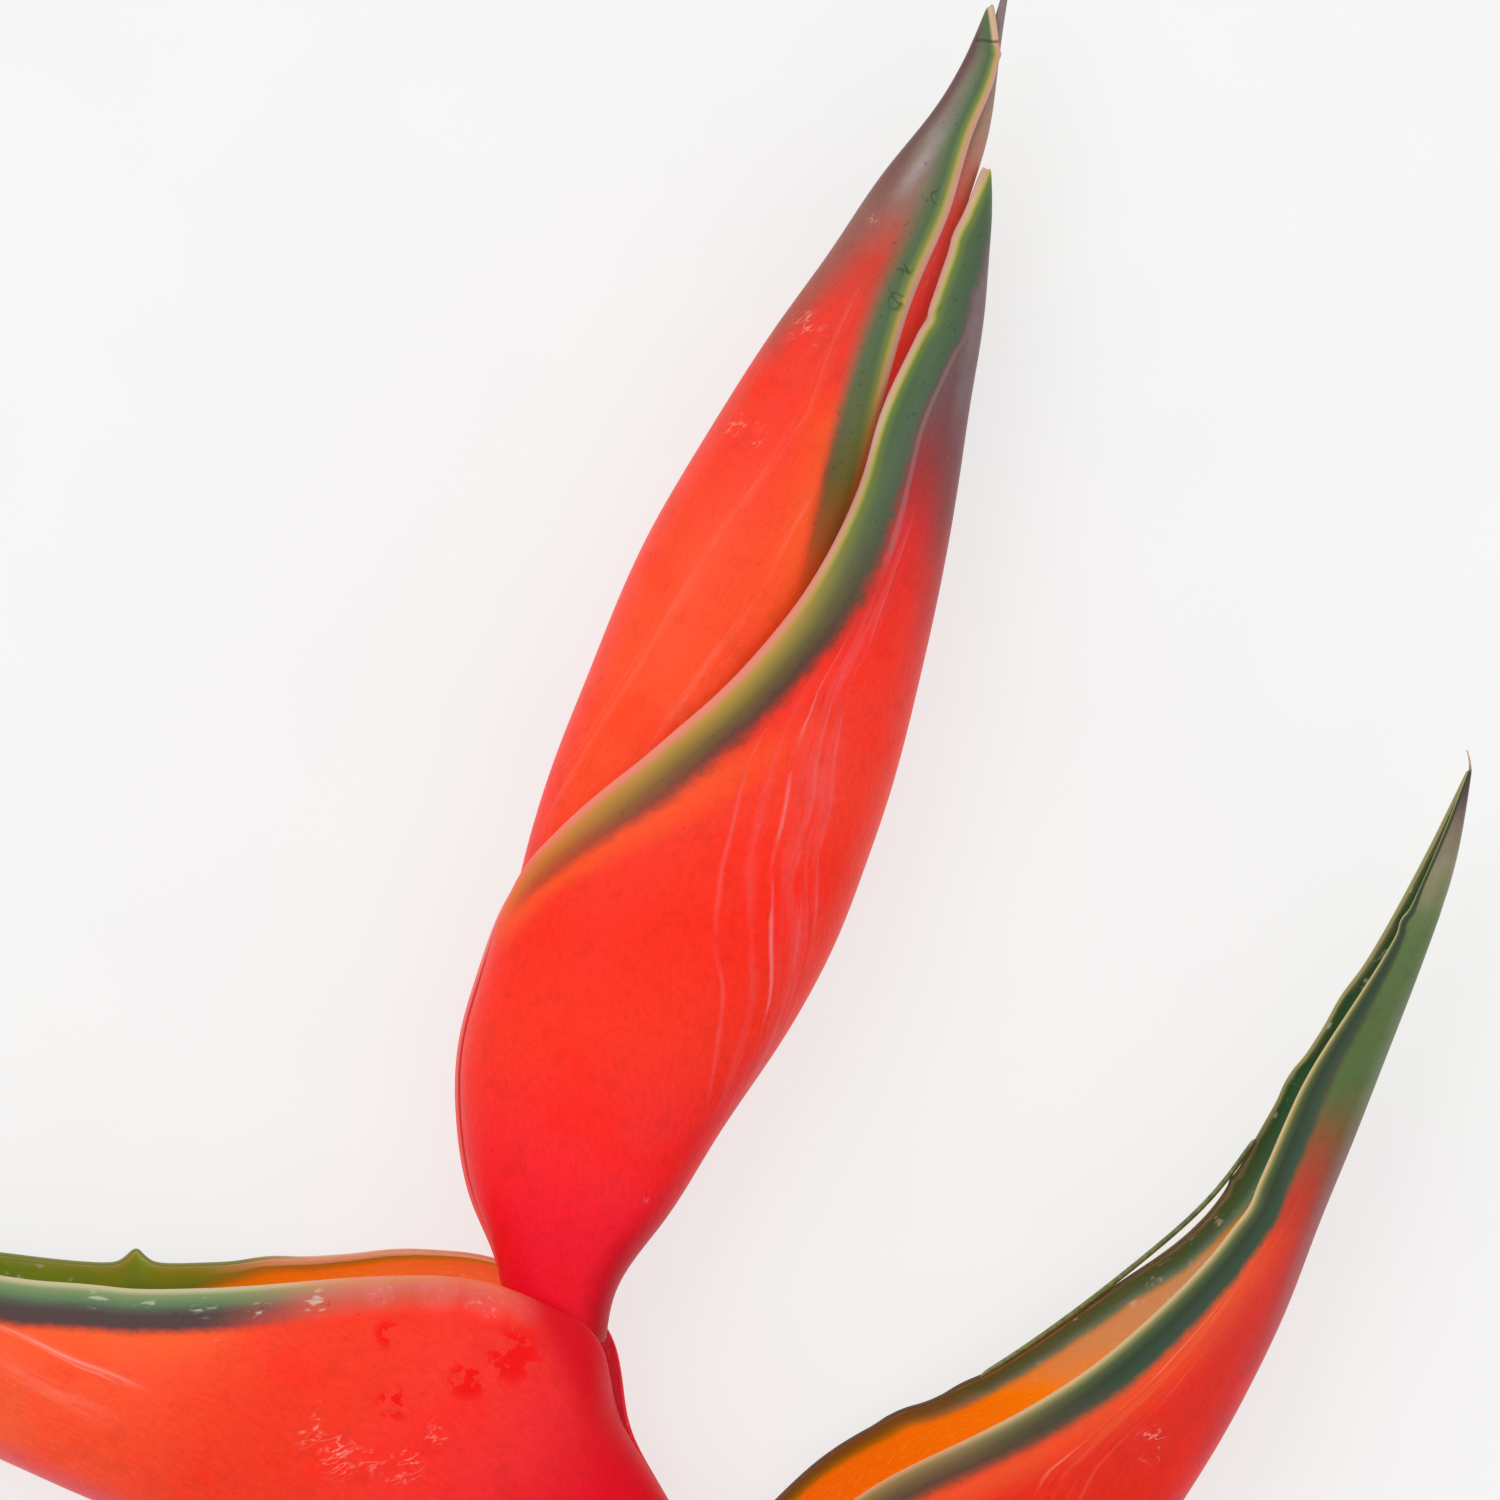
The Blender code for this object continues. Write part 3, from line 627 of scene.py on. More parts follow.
def rows_with_teeth(name):
    """Adds rows to the even ones where the lips have teeth or nicks."""
    dense = np.linspace(0.0, 1.0, LIP_SAMPLES)
    lips = bract_sheet(fine_stations(name), dense, np.array((-1.0, 1.0)))
    length = np.linalg.norm(np.diff(lips[:, 0, :2], axis=0), axis=1).sum()
    rows = [EVEN_ROWS]
    for column_pixel, row_pixel, _, reach, which, _ in LIPS[name]["teeth"]:
        spot = np.array(from_photo(column_pixel, row_pixel))
        line = lips[:, 0 if which < 0 else 1, :2]
        here = dense[np.linalg.norm(line - spot, axis=1).argmin()]
        if reach < NARROW_TOOTH:
            half = REACH_OF_ROWS * reach / length
            rows.append(np.linspace(here - half, here + half, ROWS_PER_TOOTH))
    rows = np.unique(np.clip(np.concatenate(rows), 0.0, 1.0))
    wide_enough = np.concatenate([[True], np.diff(rows) > CLOSEST_ROWS / length])
    wide_enough[-1] = True
    return rows[wide_enough]


print("rows of each bract:", {name: len(rows_with_teeth(name)) for name in BRACTS})

# %% Waves, teeth and rims
# Each wave of the lip: its share of the height and its length.
WAVES = ((1.0, 11.0), (0.4, 3.6))
# Where the waves start, counted from where the lips part, and where they end towards the tip.
WAVE_START = (-0.03, 0.06)
WAVE_END = (0.95, 0.99)
# The two lips read the noise this far apart, so that they wave differently.
OTHER_LIP = 40
SHARPNESS = 1.4
LIP_FADE = 2.6
RIM_FROM_LIP = 1.7
RIM_REACH = 1.8
RIM_START = 0.12
RIM_END = (0.85, 0.97)
DENT_DEPTH = 0.22
DENT_LENGTH = 17.0
DENT_END = (0.8, 0.95)
# Noise goes from -1 to 1, and presses no dent above this.
NO_DENT = 0.5


def tooth_height(away, height, reach, shape):
    """Gives the rise of a tooth at a distance from its middle."""
    if shape == "sharp":
        return height * np.exp(-away / reach * SHARPNESS)
    return height * np.exp(-((away / reach) ** 2))


def shape_lips(points, along, lips):
    """Gives both lips of a sheet their waves and teeth."""
    keel = points[:, KEEL_COLUMN]
    opens = lips["opens"]
    shaped = points.copy()
    for side in (-1, 1):
        lip = points[:, 0 if side < 0 else -1]
        ahead = np.gradient(lip[:, :2], axis=0)
        outward = np.stack([-ahead[:, 1], ahead[:, 0]], axis=1)
        outward /= np.linalg.norm(outward, axis=1, keepdims=True)
        outward *= np.sign(np.sum(outward * (lip[:, :2] - keel[:, :2]), axis=1, keepdims=True))
        lift = np.zeros(len(lip))
        for i, spot in enumerate(lip):
            here = Vector((spot[0], spot[1], OTHER_LIP * side))
            for size, length in WAVES:
                lift[i] += size * lips["wave"] * noise.noise(here / length)
        lift *= smoothstep(opens + WAVE_START[0], opens + WAVE_START[1], along)
        lift *= 1 - smoothstep(*WAVE_END, along)
        for column_pixel, row_pixel, height, reach, which, shape in lips["teeth"]:
            if which == side:
                tooth = np.array(from_photo(column_pixel, row_pixel))
                away = np.linalg.norm(lip[:, :2] - tooth, axis=1)
                lift += tooth_height(away - away.min(), height, reach, shape)
        half = slice(0, KEEL_COLUMN) if side < 0 else slice(KEEL_COLUMN + 1, None)
        fade = np.exp(-distance_to(lip, points[:, half]) / LIP_FADE) * lift[:, None]
        shaped[:, half, :2] += fade[..., None] * outward[:, None, :]
    return shaped


def swell_rims(points, along, lips, lip_distance):
    """Swells the rim below each lip and presses soft dents into the flanks."""
    normals = outward_normals(points)
    opened = smoothstep(lips["opens"], lips["opens"] + RIM_START, along)
    opened *= 1 - smoothstep(*RIM_END, along)
    rim = lips["rim"] * opened[:, None] * np.exp(-(((lip_distance - RIM_FROM_LIP) / RIM_REACH) ** 2))
    dents = np.zeros(points.shape[:2])
    for i, j in np.ndindex(dents.shape):
        dents[i, j] = noise.noise(Vector(points[i, j]) / DENT_LENGTH)
    dents = DENT_DEPTH * (dents - NO_DENT) / (1 + NO_DENT)
    dents *= (1 - smoothstep(*DENT_END, along))[:, None]
    return points + normals * (rim + np.minimum(dents, 0.0))[..., None]


print("a tooth 1 mm high, 1 mm from its middle:", round(tooth_height(1.0, 1.0, 1.0, "round"), 2), "mm")

# %% [markdown]
# ## Patterns that follow the bract
#
# A bract's colours follow its own lines: bands run along the lips, the tip is darker than the foot, and
# veins leave the keel at a slant and then run on beside it. So each point stores its share of the
# length, its share of the way from keel to lip, its distances to the lip and to the keel, and a number
# that stays the same along each vein. The materials read these numbers as attributes, and Solidify and
# Subdivision Surface carry them to the finished mesh.

# %% From a bmesh to a piece
def lay_down(mesh):
    """Moves a mesh from the side view to its place, and flattens it where it meets the surface."""
    for vert in mesh.verts:
        vert.co = place(vert.co.x, vert.co.y, max(vert.co.z, 0.0))


def new_piece(name, mesh):
    """Turns a bmesh into an object at the origin, shaded smooth."""
    data = bpy.data.meshes.new(name)
    mesh.to_mesh(data)
    mesh.free()
    data.shade_smooth()
    piece = bpy.data.objects.new(name, data)
    bpy.context.scene.collection.objects.link(piece)
    return piece


def round_off(piece):
    """Rounds a piece with one level of Subdivision Surface."""
    rounding = piece.modifiers.new("rounding", "SUBSURF")
    rounding.levels = 1
    rounding.render_levels = 1


print("the stem's cut end goes to", tuple(place(*STEM_PATH[0][:3])))

# %% Surface, walls and veins of a bract
VEIN_SLOPE = 1.15
# Past this share of its length, a bract's veins run beside its keel.
VEIN_TURNS = {"bract_1": 0.45, "bract_2": 0.62, "bract_3": 0.62, "bract_4": 0.62}
VEIN_WANDER = 0.012
VEIN_WANDER_LENGTH = 9.0
# Where the seam at the foot ends, counted from where the lips part.
SEAM_END = (-0.05, 0.03)


def fine_surface(name):
    """Gives the rows, the points and the lip and keel distances of a fine bract."""
    lips = LIPS[name]
    along = rows_with_teeth(name)
    closed = 1 - smoothstep(lips["opens"] + SEAM_END[0], lips["opens"] + SEAM_END[1], along)
    points = bract_sheet(fine_stations(name), along, FINE_ACROSS, SEAM_SHUT * closed)
    points = points + between(moves[name], along)
    points = shape_lips(points, along, lips)
    near = distance_to(points[:, 0], points)
    far = distance_to(points[:, -1], points)
    lip = np.where(FINE_ACROSS[None, :] <= 0, near, far)
    keel = distance_to(points[:, KEEL_COLUMN], points)
    return along, swell_rims(points, along, lips, lip), lip, keel


def fine_walls(points, along):
    """Gives the wall's thickness as a share of WALL, never more than a narrow tip has room for."""
    walls = wall_shares(along, FINE_ACROSS)
    flank = np.linalg.norm(points[:, 0, :2] - points[:, KEEL_COLUMN, :2], axis=1)
    height = np.abs(points[:, :, 2] - MIDDLE_HEIGHT).max(axis=1)
    room = TIP_WALL_SHARE * np.minimum(flank, height) / WALL
    return np.minimum(walls, room[:, None])


def vein_numbers(name, points, along):
    """Gives a number that stays the same along each vein, from 0 to 1."""
    rise = VEIN_SLOPE * np.minimum(along, VEIN_TURNS[name])
    veins = rise[:, None] - np.abs(FINE_ACROSS)[None, :]
    for i, j in np.ndindex(veins.shape):
        veins[i, j] += VEIN_WANDER * noise.noise(Vector(points[i, j]) / VEIN_WANDER_LENGTH)
    return (veins + 1) / 2


print("veins leave the keel up to", VEIN_TURNS, "of the length")


# %% Build a bract
def make_bract(name):
    """Builds the fine bract that stands for a plain one of the packed model."""
    along, points, lip, keel = fine_surface(name)
    numbers = {
        "along": np.repeat(along[:, None], len(FINE_ACROSS), axis=1),
        "across": np.repeat(FINE_ACROSS[None, :], len(along), axis=0),
        "lip": lip,
        "keel": keel,
        "vein": vein_numbers(name, points, along),
    }
    walls = fine_walls(points, along)
    sheet = grid_of(points)
    row_layer = sheet.verts.layers.int["row"]
    column_layer = sheet.verts.layers.int["column"]
    weights = sheet.verts.layers.deform.new()
    for key, values in numbers.items():
        layer = sheet.verts.layers.float.new(key)
        for vert in sheet.verts:
            vert[layer] = float(values[vert[row_layer], vert[column_layer]])
    for vert in sheet.verts:
        vert[weights][0] = float(walls[vert[row_layer], vert[column_layer]])
    lay_down(sheet)
    piece = new_piece("fine_" + name, sheet)
    piece.vertex_groups.new(name="wall")
    wall = piece.modifiers.new("wall", "SOLIDIFY")
    wall.thickness = WALL * MM
    wall.offset = -1.0
    wall.vertex_group = "wall"
    wall.thickness_vertex_group = 0.0
    wall.material_offset = 1
    wall.material_offset_rim = 2
    round_off(piece)
    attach(piece, "root")
    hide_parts(name)
    return piece


bracts = {name: make_bract(name) for name in BRACTS}
print("bracts:", {name: len(piece.data.vertices) for name, piece in bracts.items()})

# %% [markdown]
# ## A shorthand for shader nodes
#
# Materials are built from nodes. Written out one by one they are hard to read, so one small class wraps
# the output of a node. Sums and products of it add Math nodes, and its node() method adds any other
# node: its type, then its settings, then its inputs.


# %% Wires between nodes
# The waxy skin is only a little glossy, and reflects about this much of the studio over every colour,
# so paint() takes it off.
SKIN_GLOSS = 0.10
SHEEN = 0.006


def paint(red, green, blue):
    """Turns a screen colour, 0 to 255, into the linear colour that a shader needs."""
    parts = [value / 255 for value in (red, green, blue)]
    linear = [p / 12.92 if p <= 0.04045 else ((p + 0.055) / 1.055) ** 2.4 for p in parts]
    return (*[max(part - SHEEN, 0.0) for part in linear], 1.0)


class Wire:
    """The output of a node. Sums and products of wires add Math nodes."""

    def __init__(self, tree, socket=None):
        self.tree = tree
        self.socket = socket

    def node(self, kind, settings=None, inputs=None, output=0):
        """Adds a node: its type, its settings, then the values or wires of its inputs."""
        made = self.tree.nodes.new(kind)
        for name, value in (settings or {}).items():
            if name == "stops":
                ramp = made.color_ramp
                while len(ramp.elements) < len(value):
                    ramp.elements.new(0.5)
                for element, (position, colour) in zip(ramp.elements, value):
                    element.position = position
                    element.color = colour
            else:
                setattr(made, name, value)
        for name, value in (inputs or {}).items():
            if isinstance(value, Wire):
                self.tree.links.new(value.socket, made.inputs[name])
            else:
                made.inputs[name].default_value = value
        return Wire(self.tree, made.outputs[output])

    def math(self, operation, *values):
        return self.node("ShaderNodeMath", {"operation": operation}, dict(enumerate(values)))

    def __add__(self, other):
        return self.math("ADD", self, other)

    def __radd__(self, other):
        return self.math("ADD", other, self)

    def __sub__(self, other):
        return self.math("SUBTRACT", self, other)

    def __rsub__(self, other):
        return self.math("SUBTRACT", other, self)

    def __mul__(self, other):
        return self.math("MULTIPLY", self, other)

    def __rmul__(self, other):
        return self.math("MULTIPLY", other, self)

    def __truediv__(self, other):
        return self.math("DIVIDE", self, other)

    def __abs__(self):
        return self.math("ABSOLUTE", self)


print("the shorthand adds nodes for", sorted(name for name in vars(Wire) if name.startswith("__r")))


# %% [markdown]
# ## Masks, noise and colour ramps
#
# Every finish here is layers of paint, and each layer needs a mask that says where it lies. The masks
# come from the numbers on the bract or from noise, and Map Range gives them their soft edges. Ramps
# turn a number into a colour. These few functions are all that the finishes below are made of.


# %% Masks, noise and colour ramps from wires
SPOT_CORE = 0.4
# How far before and behind its line, in millimetres, the mask of beyond() rises.
LINE_SOFTNESS = (3.0, 2.5)
# A bract's near side ends just before its keel, between these shares of the way across.
NEAR_SIDE_END = (-0.06, -0.02)


def rises(value, low, high):
    """A mask that rises smoothly from 0 at low to 1 at high."""
    inputs = {"Value": value, "From Min": low, "From Max": high}
    return value.node("ShaderNodeMapRange", {"interpolation_type": "SMOOTHSTEP"}, inputs)


def window(value, low, high, soft):
    """A mask that is 1 between low and high and fades over a soft edge on both sides."""
    return rises(value, low - soft, low) * (1 - rises(value, high, high + soft))


def colour_along(value, stops):
    """Reads a colour from stops of position and screen colour."""
    painted = [(position, paint(*colour)) for position, colour in stops]
    return value.node("ShaderNodeValToRGB", {"stops": painted}, {"Fac": value})


def number_along(value, stops):
    """Reads a number from 0 to 1 from stops of position and number."""
    grey = [(position, (number, number, number, 1.0)) for position, number in stops]
    return value.node("ShaderNodeValToRGB", {"stops": grey}, {"Fac": value})


def mixed(mask, under, over, blend="MIX"):
    """Lays one colour over another where the mask is 1."""
    # A Mix node has sockets for every type: 6 and 7 are its colours, and 2 is the colour it gives.
    settings = {"data_type": "RGBA", "blend_type": blend}
    return mask.node("ShaderNodeMix", settings, {0: mask, 6: under, 7: over}, output=2)


def clouds(vector, size, detail=3.0, roughness=0.55):
    """Noise from 0 to 1 whose blotches are about this many millimetres wide."""
    inputs = {"Vector": vector, "Scale": 1 / (size * MM), "Detail": detail, "Roughness": roughness}
    return vector.node("ShaderNodeTexNoise", None, inputs)


def new_finish(name):
    """Starts a material and gives its shader and a first wire, the piece's Object coordinates."""
    material = bpy.data.materials.new(name)
    material.use_nodes = True
    tree = material.node_tree
    shader = tree.nodes["Principled BSDF"]
    here = Wire(tree).node("ShaderNodeTexCoord", None, None, output="Object")
    return material, shader, here


def attribute(wire, name):
    """Reads a number that is stored on the piece's points."""
    return wire.node("ShaderNodeAttribute", {"attribute_name": name}, None, output="Fac")


def drawn_out(along, beside, length, width, size, detail=3.0, roughness=0.55):
    """Noise that follows a piece, as if it were a flat strip this long and wide in millimetres."""
    flat = {"X": along * (length * MM), "Y": beside * (width * MM), "Z": 0.0}
    return clouds(along.node("ShaderNodeCombineXYZ", None, flat), size, detail, roughness)


def spots(here, places):
    """A mask of soft round spots, each given by a pixel of the photograph and a radius."""
    flat = here.node("ShaderNodeVectorMath", {"operation": "MULTIPLY"}, {0: here, 1: (1.0, 1.0, 0.0)})
    mask = None
    for column, row, radius in places:
        centre = tuple(place(*from_photo(column, row), 0.0))
        away = flat.node("ShaderNodeVectorMath", {"operation": "DISTANCE"}, {0: flat, 1: centre}, "Value")
        spot = 1 - rises(away, SPOT_CORE * radius * MM, radius * MM)
        mask = spot if mask is None else mask.math("MAXIMUM", mask, spot)
    return mask


def beyond(here, top, bottom):
    """A mask that rises to the right of a line, which runs down through two pixels of the photograph."""
    start = place(*from_photo(*top), 0.0)
    end = place(*from_photo(*bottom), 0.0)
    right = Vector((0.0, 0.0, 1.0)).cross(end - start).normalized()
    reach = here.node("ShaderNodeVectorMath", {"operation": "DOT_PRODUCT"}, {0: here, 1: right}, "Value")
    before, behind = LINE_SOFTNESS
    return rises(reach - right.dot(start), -before * MM, behind * MM)


def near_side(across):
    """A mask of a bract's near side, which the photograph shows."""
    return 1 - rises(across, *NEAR_SIDE_END)


print("a red in linear numbers:", paint(250, 55, 40))


# %% The end of a finish
RELIEF_STRENGTH = 0.3


def connect(wire, shader, name):
    """Links a wire to one of a shader's sockets."""
    wire.tree.links.new(wire.socket, shader.inputs[name])


def finish_off(shader, colour, roughness, gloss, glow=0.0):
    """Gives a shader its colour, how rough and how glossy it is, and how much it glows in its colour."""
    connect(colour, shader, "Base Color")
    connect(roughness, shader, "Roughness")
    shader.inputs["Specular IOR Level"].default_value = gloss
    if glow:
        connect(colour, shader, "Emission Color")
        shader.inputs["Emission Strength"].default_value = glow


def add_relief(shader, height, depth, strength=RELIEF_STRENGTH):
    """Gives a shader a relief as deep as this many millimetres."""
    inputs = {"Strength": strength, "Distance": depth * MM, "Height": height}
    connect(height.node("ShaderNodeBump", None, inputs), shader, "Normal")


print("reliefs have a strength of", RELIEF_STRENGTH)

# %% [markdown]
# ## The skin of a bract
#
# The skin goes from crimson at the foot over orange-red on the belly to grey-purple or green at the
# tip. Along each lip runs a band: a pale edge, a yellow line, green, and a dark border that frays out
# into the red. Fine veins run lengthwise, and rubbed wax leaves pale streaks and scratches. A painted
# image could show all this, but nodes that read the bract's own lines stay sharp and fit every view.

# %% Colours of the third bract
# Each list of stops holds a share of the bract's length and what is there: a colour or a number.
# A band's stops run from the lip, 0, to the band's border, 1.
# body, keel, edge: the colours of the flank, the keel and the cut edge.
# keel_reach, band_width: how wide the keel's colour and the band are, as shares of the widest.
# band, fading_band: the band's colours towards the tip and towards the foot. fades: where they change.
# band_strength, fray, border: how strongly the band shows, how far it frays, and where it starts to.
# glow: where the flesh beside the band is more orange. streak_range: where there are streaks.
# streaks, broad_streaks: the number of a vein, half the streak's width in it, and its strength.
# painted_sheen: the start, the end, the distance from the keel in millimetres and the strength of a
# painted grey sheen, a highlight of the waxy skin.
FINISHES = {}
FINISHES["bract_3"] = {
    "body": [
        (0.0, (225, 8, 40)), (0.05, (238, 28, 48)), (0.11, (247, 34, 50)), (0.19, (249, 48, 46)),
        (0.28, (250, 56, 38)), (0.40, (249, 50, 34)), (0.50, (248, 62, 44)), (0.63, (244, 58, 44)),
        (0.72, (224, 50, 46)), (0.79, (166, 56, 56)), (0.85, (118, 78, 78)), (1.0, (108, 88, 80)),
    ],
    "keel": [
        (0.0, (170, 0, 30)), (0.10, (198, 18, 40)), (0.20, (224, 34, 42)), (0.36, (240, 62, 50)),
        (0.50, (242, 70, 54)), (0.60, (226, 62, 56)), (0.66, (184, 62, 62)), (0.73, (126, 66, 66)),
        (0.82, (110, 82, 84)), (0.92, (124, 102, 100)), (1.0, (116, 94, 80)),
    ],
    "keel_reach": [(0.0, 0.30), (0.3, 0.30), (0.55, 0.26), (0.66, 0.24), (0.74, 0.34), (0.85, 0.5)],
    "band": [
        (0.0, (206, 158, 144)), (0.12, (208, 170, 148)), (0.18, (184, 176, 92)), (0.27, (110, 128, 66)),
        (0.44, (82, 104, 72)), (0.84, (78, 96, 76)), (1.0, (88, 78, 70)),
    ],
    "fading_band": [
        (0.0, (232, 138, 122)), (0.12, (224, 134, 112)), (0.20, (186, 142, 72)), (0.36, (146, 126, 60)),
        (0.52, (108, 94, 58)), (0.72, (92, 66, 56)), (0.90, (112, 60, 52)), (1.0, (180, 54, 44)),
    ],
    "fades": (0.64, 0.84),
    "band_width": [
        (0.40, 0.26), (0.44, 0.38), (0.47, 0.62), (0.53, 0.92), (0.69, 0.98), (0.78, 0.76),
        (0.93, 0.66),
    ],
    "band_strength": [(0.42, 0.0), (0.46, 0.5), (0.53, 0.82), (0.60, 0.95), (0.66, 1.0)],
    "fray": 0.34,
    "border": [(0.5, 0.66), (0.7, 0.76)],
    "glow": (0.43, 0.55),
    "edge": [
        (0.0, (232, 70, 70)), (0.38, (230, 120, 116)), (0.55, (232, 146, 122)), (0.8, (212, 166, 150)),
        (1.0, (214, 160, 110)),
    ],
    "streaks": [
        (0.57, 0.0016, 0.6), (0.553, 0.001, 0.3), (0.515, 0.0014, 0.35), (0.626, 0.0016, 0.5),
        (0.602, 0.001, 0.3),
    ],
    "broad_streaks": [(0.545, 0.010, 0.15), (0.605, 0.040, 0.18)],
    "streak_range": (0.24, 0.72),
    "painted_sheen": (0.84, 1.0, 1.4, 0.16),
}
print("bract_3 has", len(FINISHES["bract_3"]["body"]), "colours on its flank")

# %% Colours of the fourth bract
FINISHES["bract_4"] = {
    "body": [
        (0.0, (214, 10, 30)), (0.20, (249, 70, 40)), (0.34, (252, 82, 46)), (0.48, (252, 80, 48)),
        (0.58, (246, 66, 46)), (0.70, (232, 62, 48)), (0.77, (206, 64, 52)), (0.82, (150, 108, 94)),
        (0.88, (146, 134, 124)), (0.94, (138, 128, 116)), (1.0, (104, 104, 84)),
    ],
    "keel": [
        (0.0, (236, 30, 50)), (0.35, (250, 74, 58)), (0.55, (248, 76, 60)), (0.64, (224, 78, 64)),
        (0.70, (166, 86, 74)), (0.80, (140, 98, 88)), (0.87, (106, 64, 62)), (1.0, (88, 58, 56)),
    ],
    "keel_reach": [
        (0.0, 0.22), (0.5, 0.22), (0.64, 0.18), (0.74, 0.34), (0.80, 0.40), (0.88, 0.14), (1.0, 0.12),
    ],
    "band": [
        (0.0, (206, 158, 144)), (0.11, (204, 150, 134)), (0.18, (190, 164, 92)), (0.28, (122, 136, 74)),
        (0.42, (88, 108, 76)), (0.70, (94, 110, 80)), (1.0, (116, 104, 84)),
    ],
    "fading_band": [
        (0.0, (226, 116, 92)), (0.14, (216, 118, 84)), (0.24, (178, 122, 60)), (0.36, (112, 108, 52)),
        (0.78, (104, 92, 52)), (0.92, (132, 78, 44)), (1.0, (190, 66, 44)),
    ],
    "fades": (0.52, 0.70),
    "band_width": [
        (0.0, 0.4), (0.48, 0.72), (0.6, 0.76), (0.75, 0.74), (0.85, 0.66), (0.94, 0.5), (1.0, 0.3),
    ],
    "band_strength": [(0.42, 0.0), (0.49, 0.7), (0.55, 1.0)],
    "fray": 0.16,
    "border": [(0.58, 0.84), (0.80, 0.42)],
    "glow": (0.44, 0.60),
    "edge": [
        (0.0, (236, 80, 60)), (0.5, (226, 130, 110)), (0.8, (204, 154, 136)), (0.89, (166, 154, 108)),
        (0.97, (156, 146, 104)),
    ],
    "streaks": [(0.455, 0.0014, 0.6), (0.47, 0.001, 0.3), (0.62, 0.001, 0.3)],
    "broad_streaks": [(0.44, 0.012, 0.3), (0.56, 0.02, 0.2)],
    "streak_range": (0.28, 0.72),
    "painted_sheen": (0.87, 0.96, 3.4, 0.50),
}
print("bract_4 has", len(FINISHES["bract_4"]["body"]), "colours on its flank")

# %% Colours of the second bract
FINISHES["bract_2"] = {
    "body": [
        (0.0, (206, 0, 34)), (0.12, (224, 14, 38)), (0.20, (238, 44, 48)), (0.28, (245, 56, 46)),
        (0.34, (243, 58, 38)), (0.40, (243, 62, 38)), (0.48, (250, 80, 48)), (0.56, (250, 92, 56)),
        (0.66, (226, 76, 52)), (0.74, (140, 96, 60)), (0.82, (92, 114, 66)), (0.94, (98, 102, 72)),
        (1.0, (96, 78, 66)),
    ],
    "keel": [
        (0.0, (186, 0, 34)), (0.15, (206, 4, 40)), (0.35, (220, 40, 54)), (0.55, (232, 84, 90)),
        (0.68, (214, 92, 84)), (0.78, (120, 104, 66)), (1.0, (96, 92, 72)),
    ],
    "keel_reach": [(0.0, 0.26), (0.5, 0.24), (0.7, 0.3), (1.0, 0.6)],
    "band": [
        (0.0, (204, 194, 160)), (0.10, (190, 184, 138)), (0.20, (128, 148, 98)), (0.40, (96, 124, 88)),
        (0.50, (88, 94, 80)), (0.62, (84, 70, 68)), (0.90, (86, 66, 66)), (1.0, (120, 62, 58)),
    ],
    "fading_band": [
        (0.0, (232, 152, 112)), (0.16, (206, 146, 104)), (0.36, (196, 122, 104)), (0.62, (206, 96, 78)),
        (0.84, (226, 80, 62)), (1.0, (248, 66, 48)),
    ],
    "fades": (0.38, 0.48),
    "band_width": [(0.0, 0.4), (0.26, 0.5), (0.40, 0.66), (0.6, 0.74), (0.8, 0.66), (1.0, 0.4)],
    "band_strength": [(0.24, 0.0), (0.30, 0.5), (0.36, 0.8), (0.45, 1.0)],
    "fray": 0.16,
    "border": [(0.5, 0.84)],
    "glow": (0.48, 0.58),
    "edge": [
        (0.0, (222, 20, 46)), (0.20, (228, 48, 58)), (0.27, (236, 120, 104)), (0.4, (222, 178, 130)),
        (0.5, (208, 198, 166)), (1.0, (206, 190, 140)),
    ],
    "streaks": [
        (0.478, 0.0012, 0.3), (0.488, 0.0014, 0.55), (0.496, 0.001, 0.4), (0.522, 0.0014, 0.5),
        (0.545, 0.001, 0.3),
    ],
    "broad_streaks": [(0.49, 0.012, 0.3), (0.55, 0.02, 0.25)],
    "streak_range": (0.52, 0.80),
    "painted_sheen": (0.76, 0.98, 3.0, 0.2),
}
print("bract_2 has", len(FINISHES["bract_2"]["body"]), "colours on its flank")

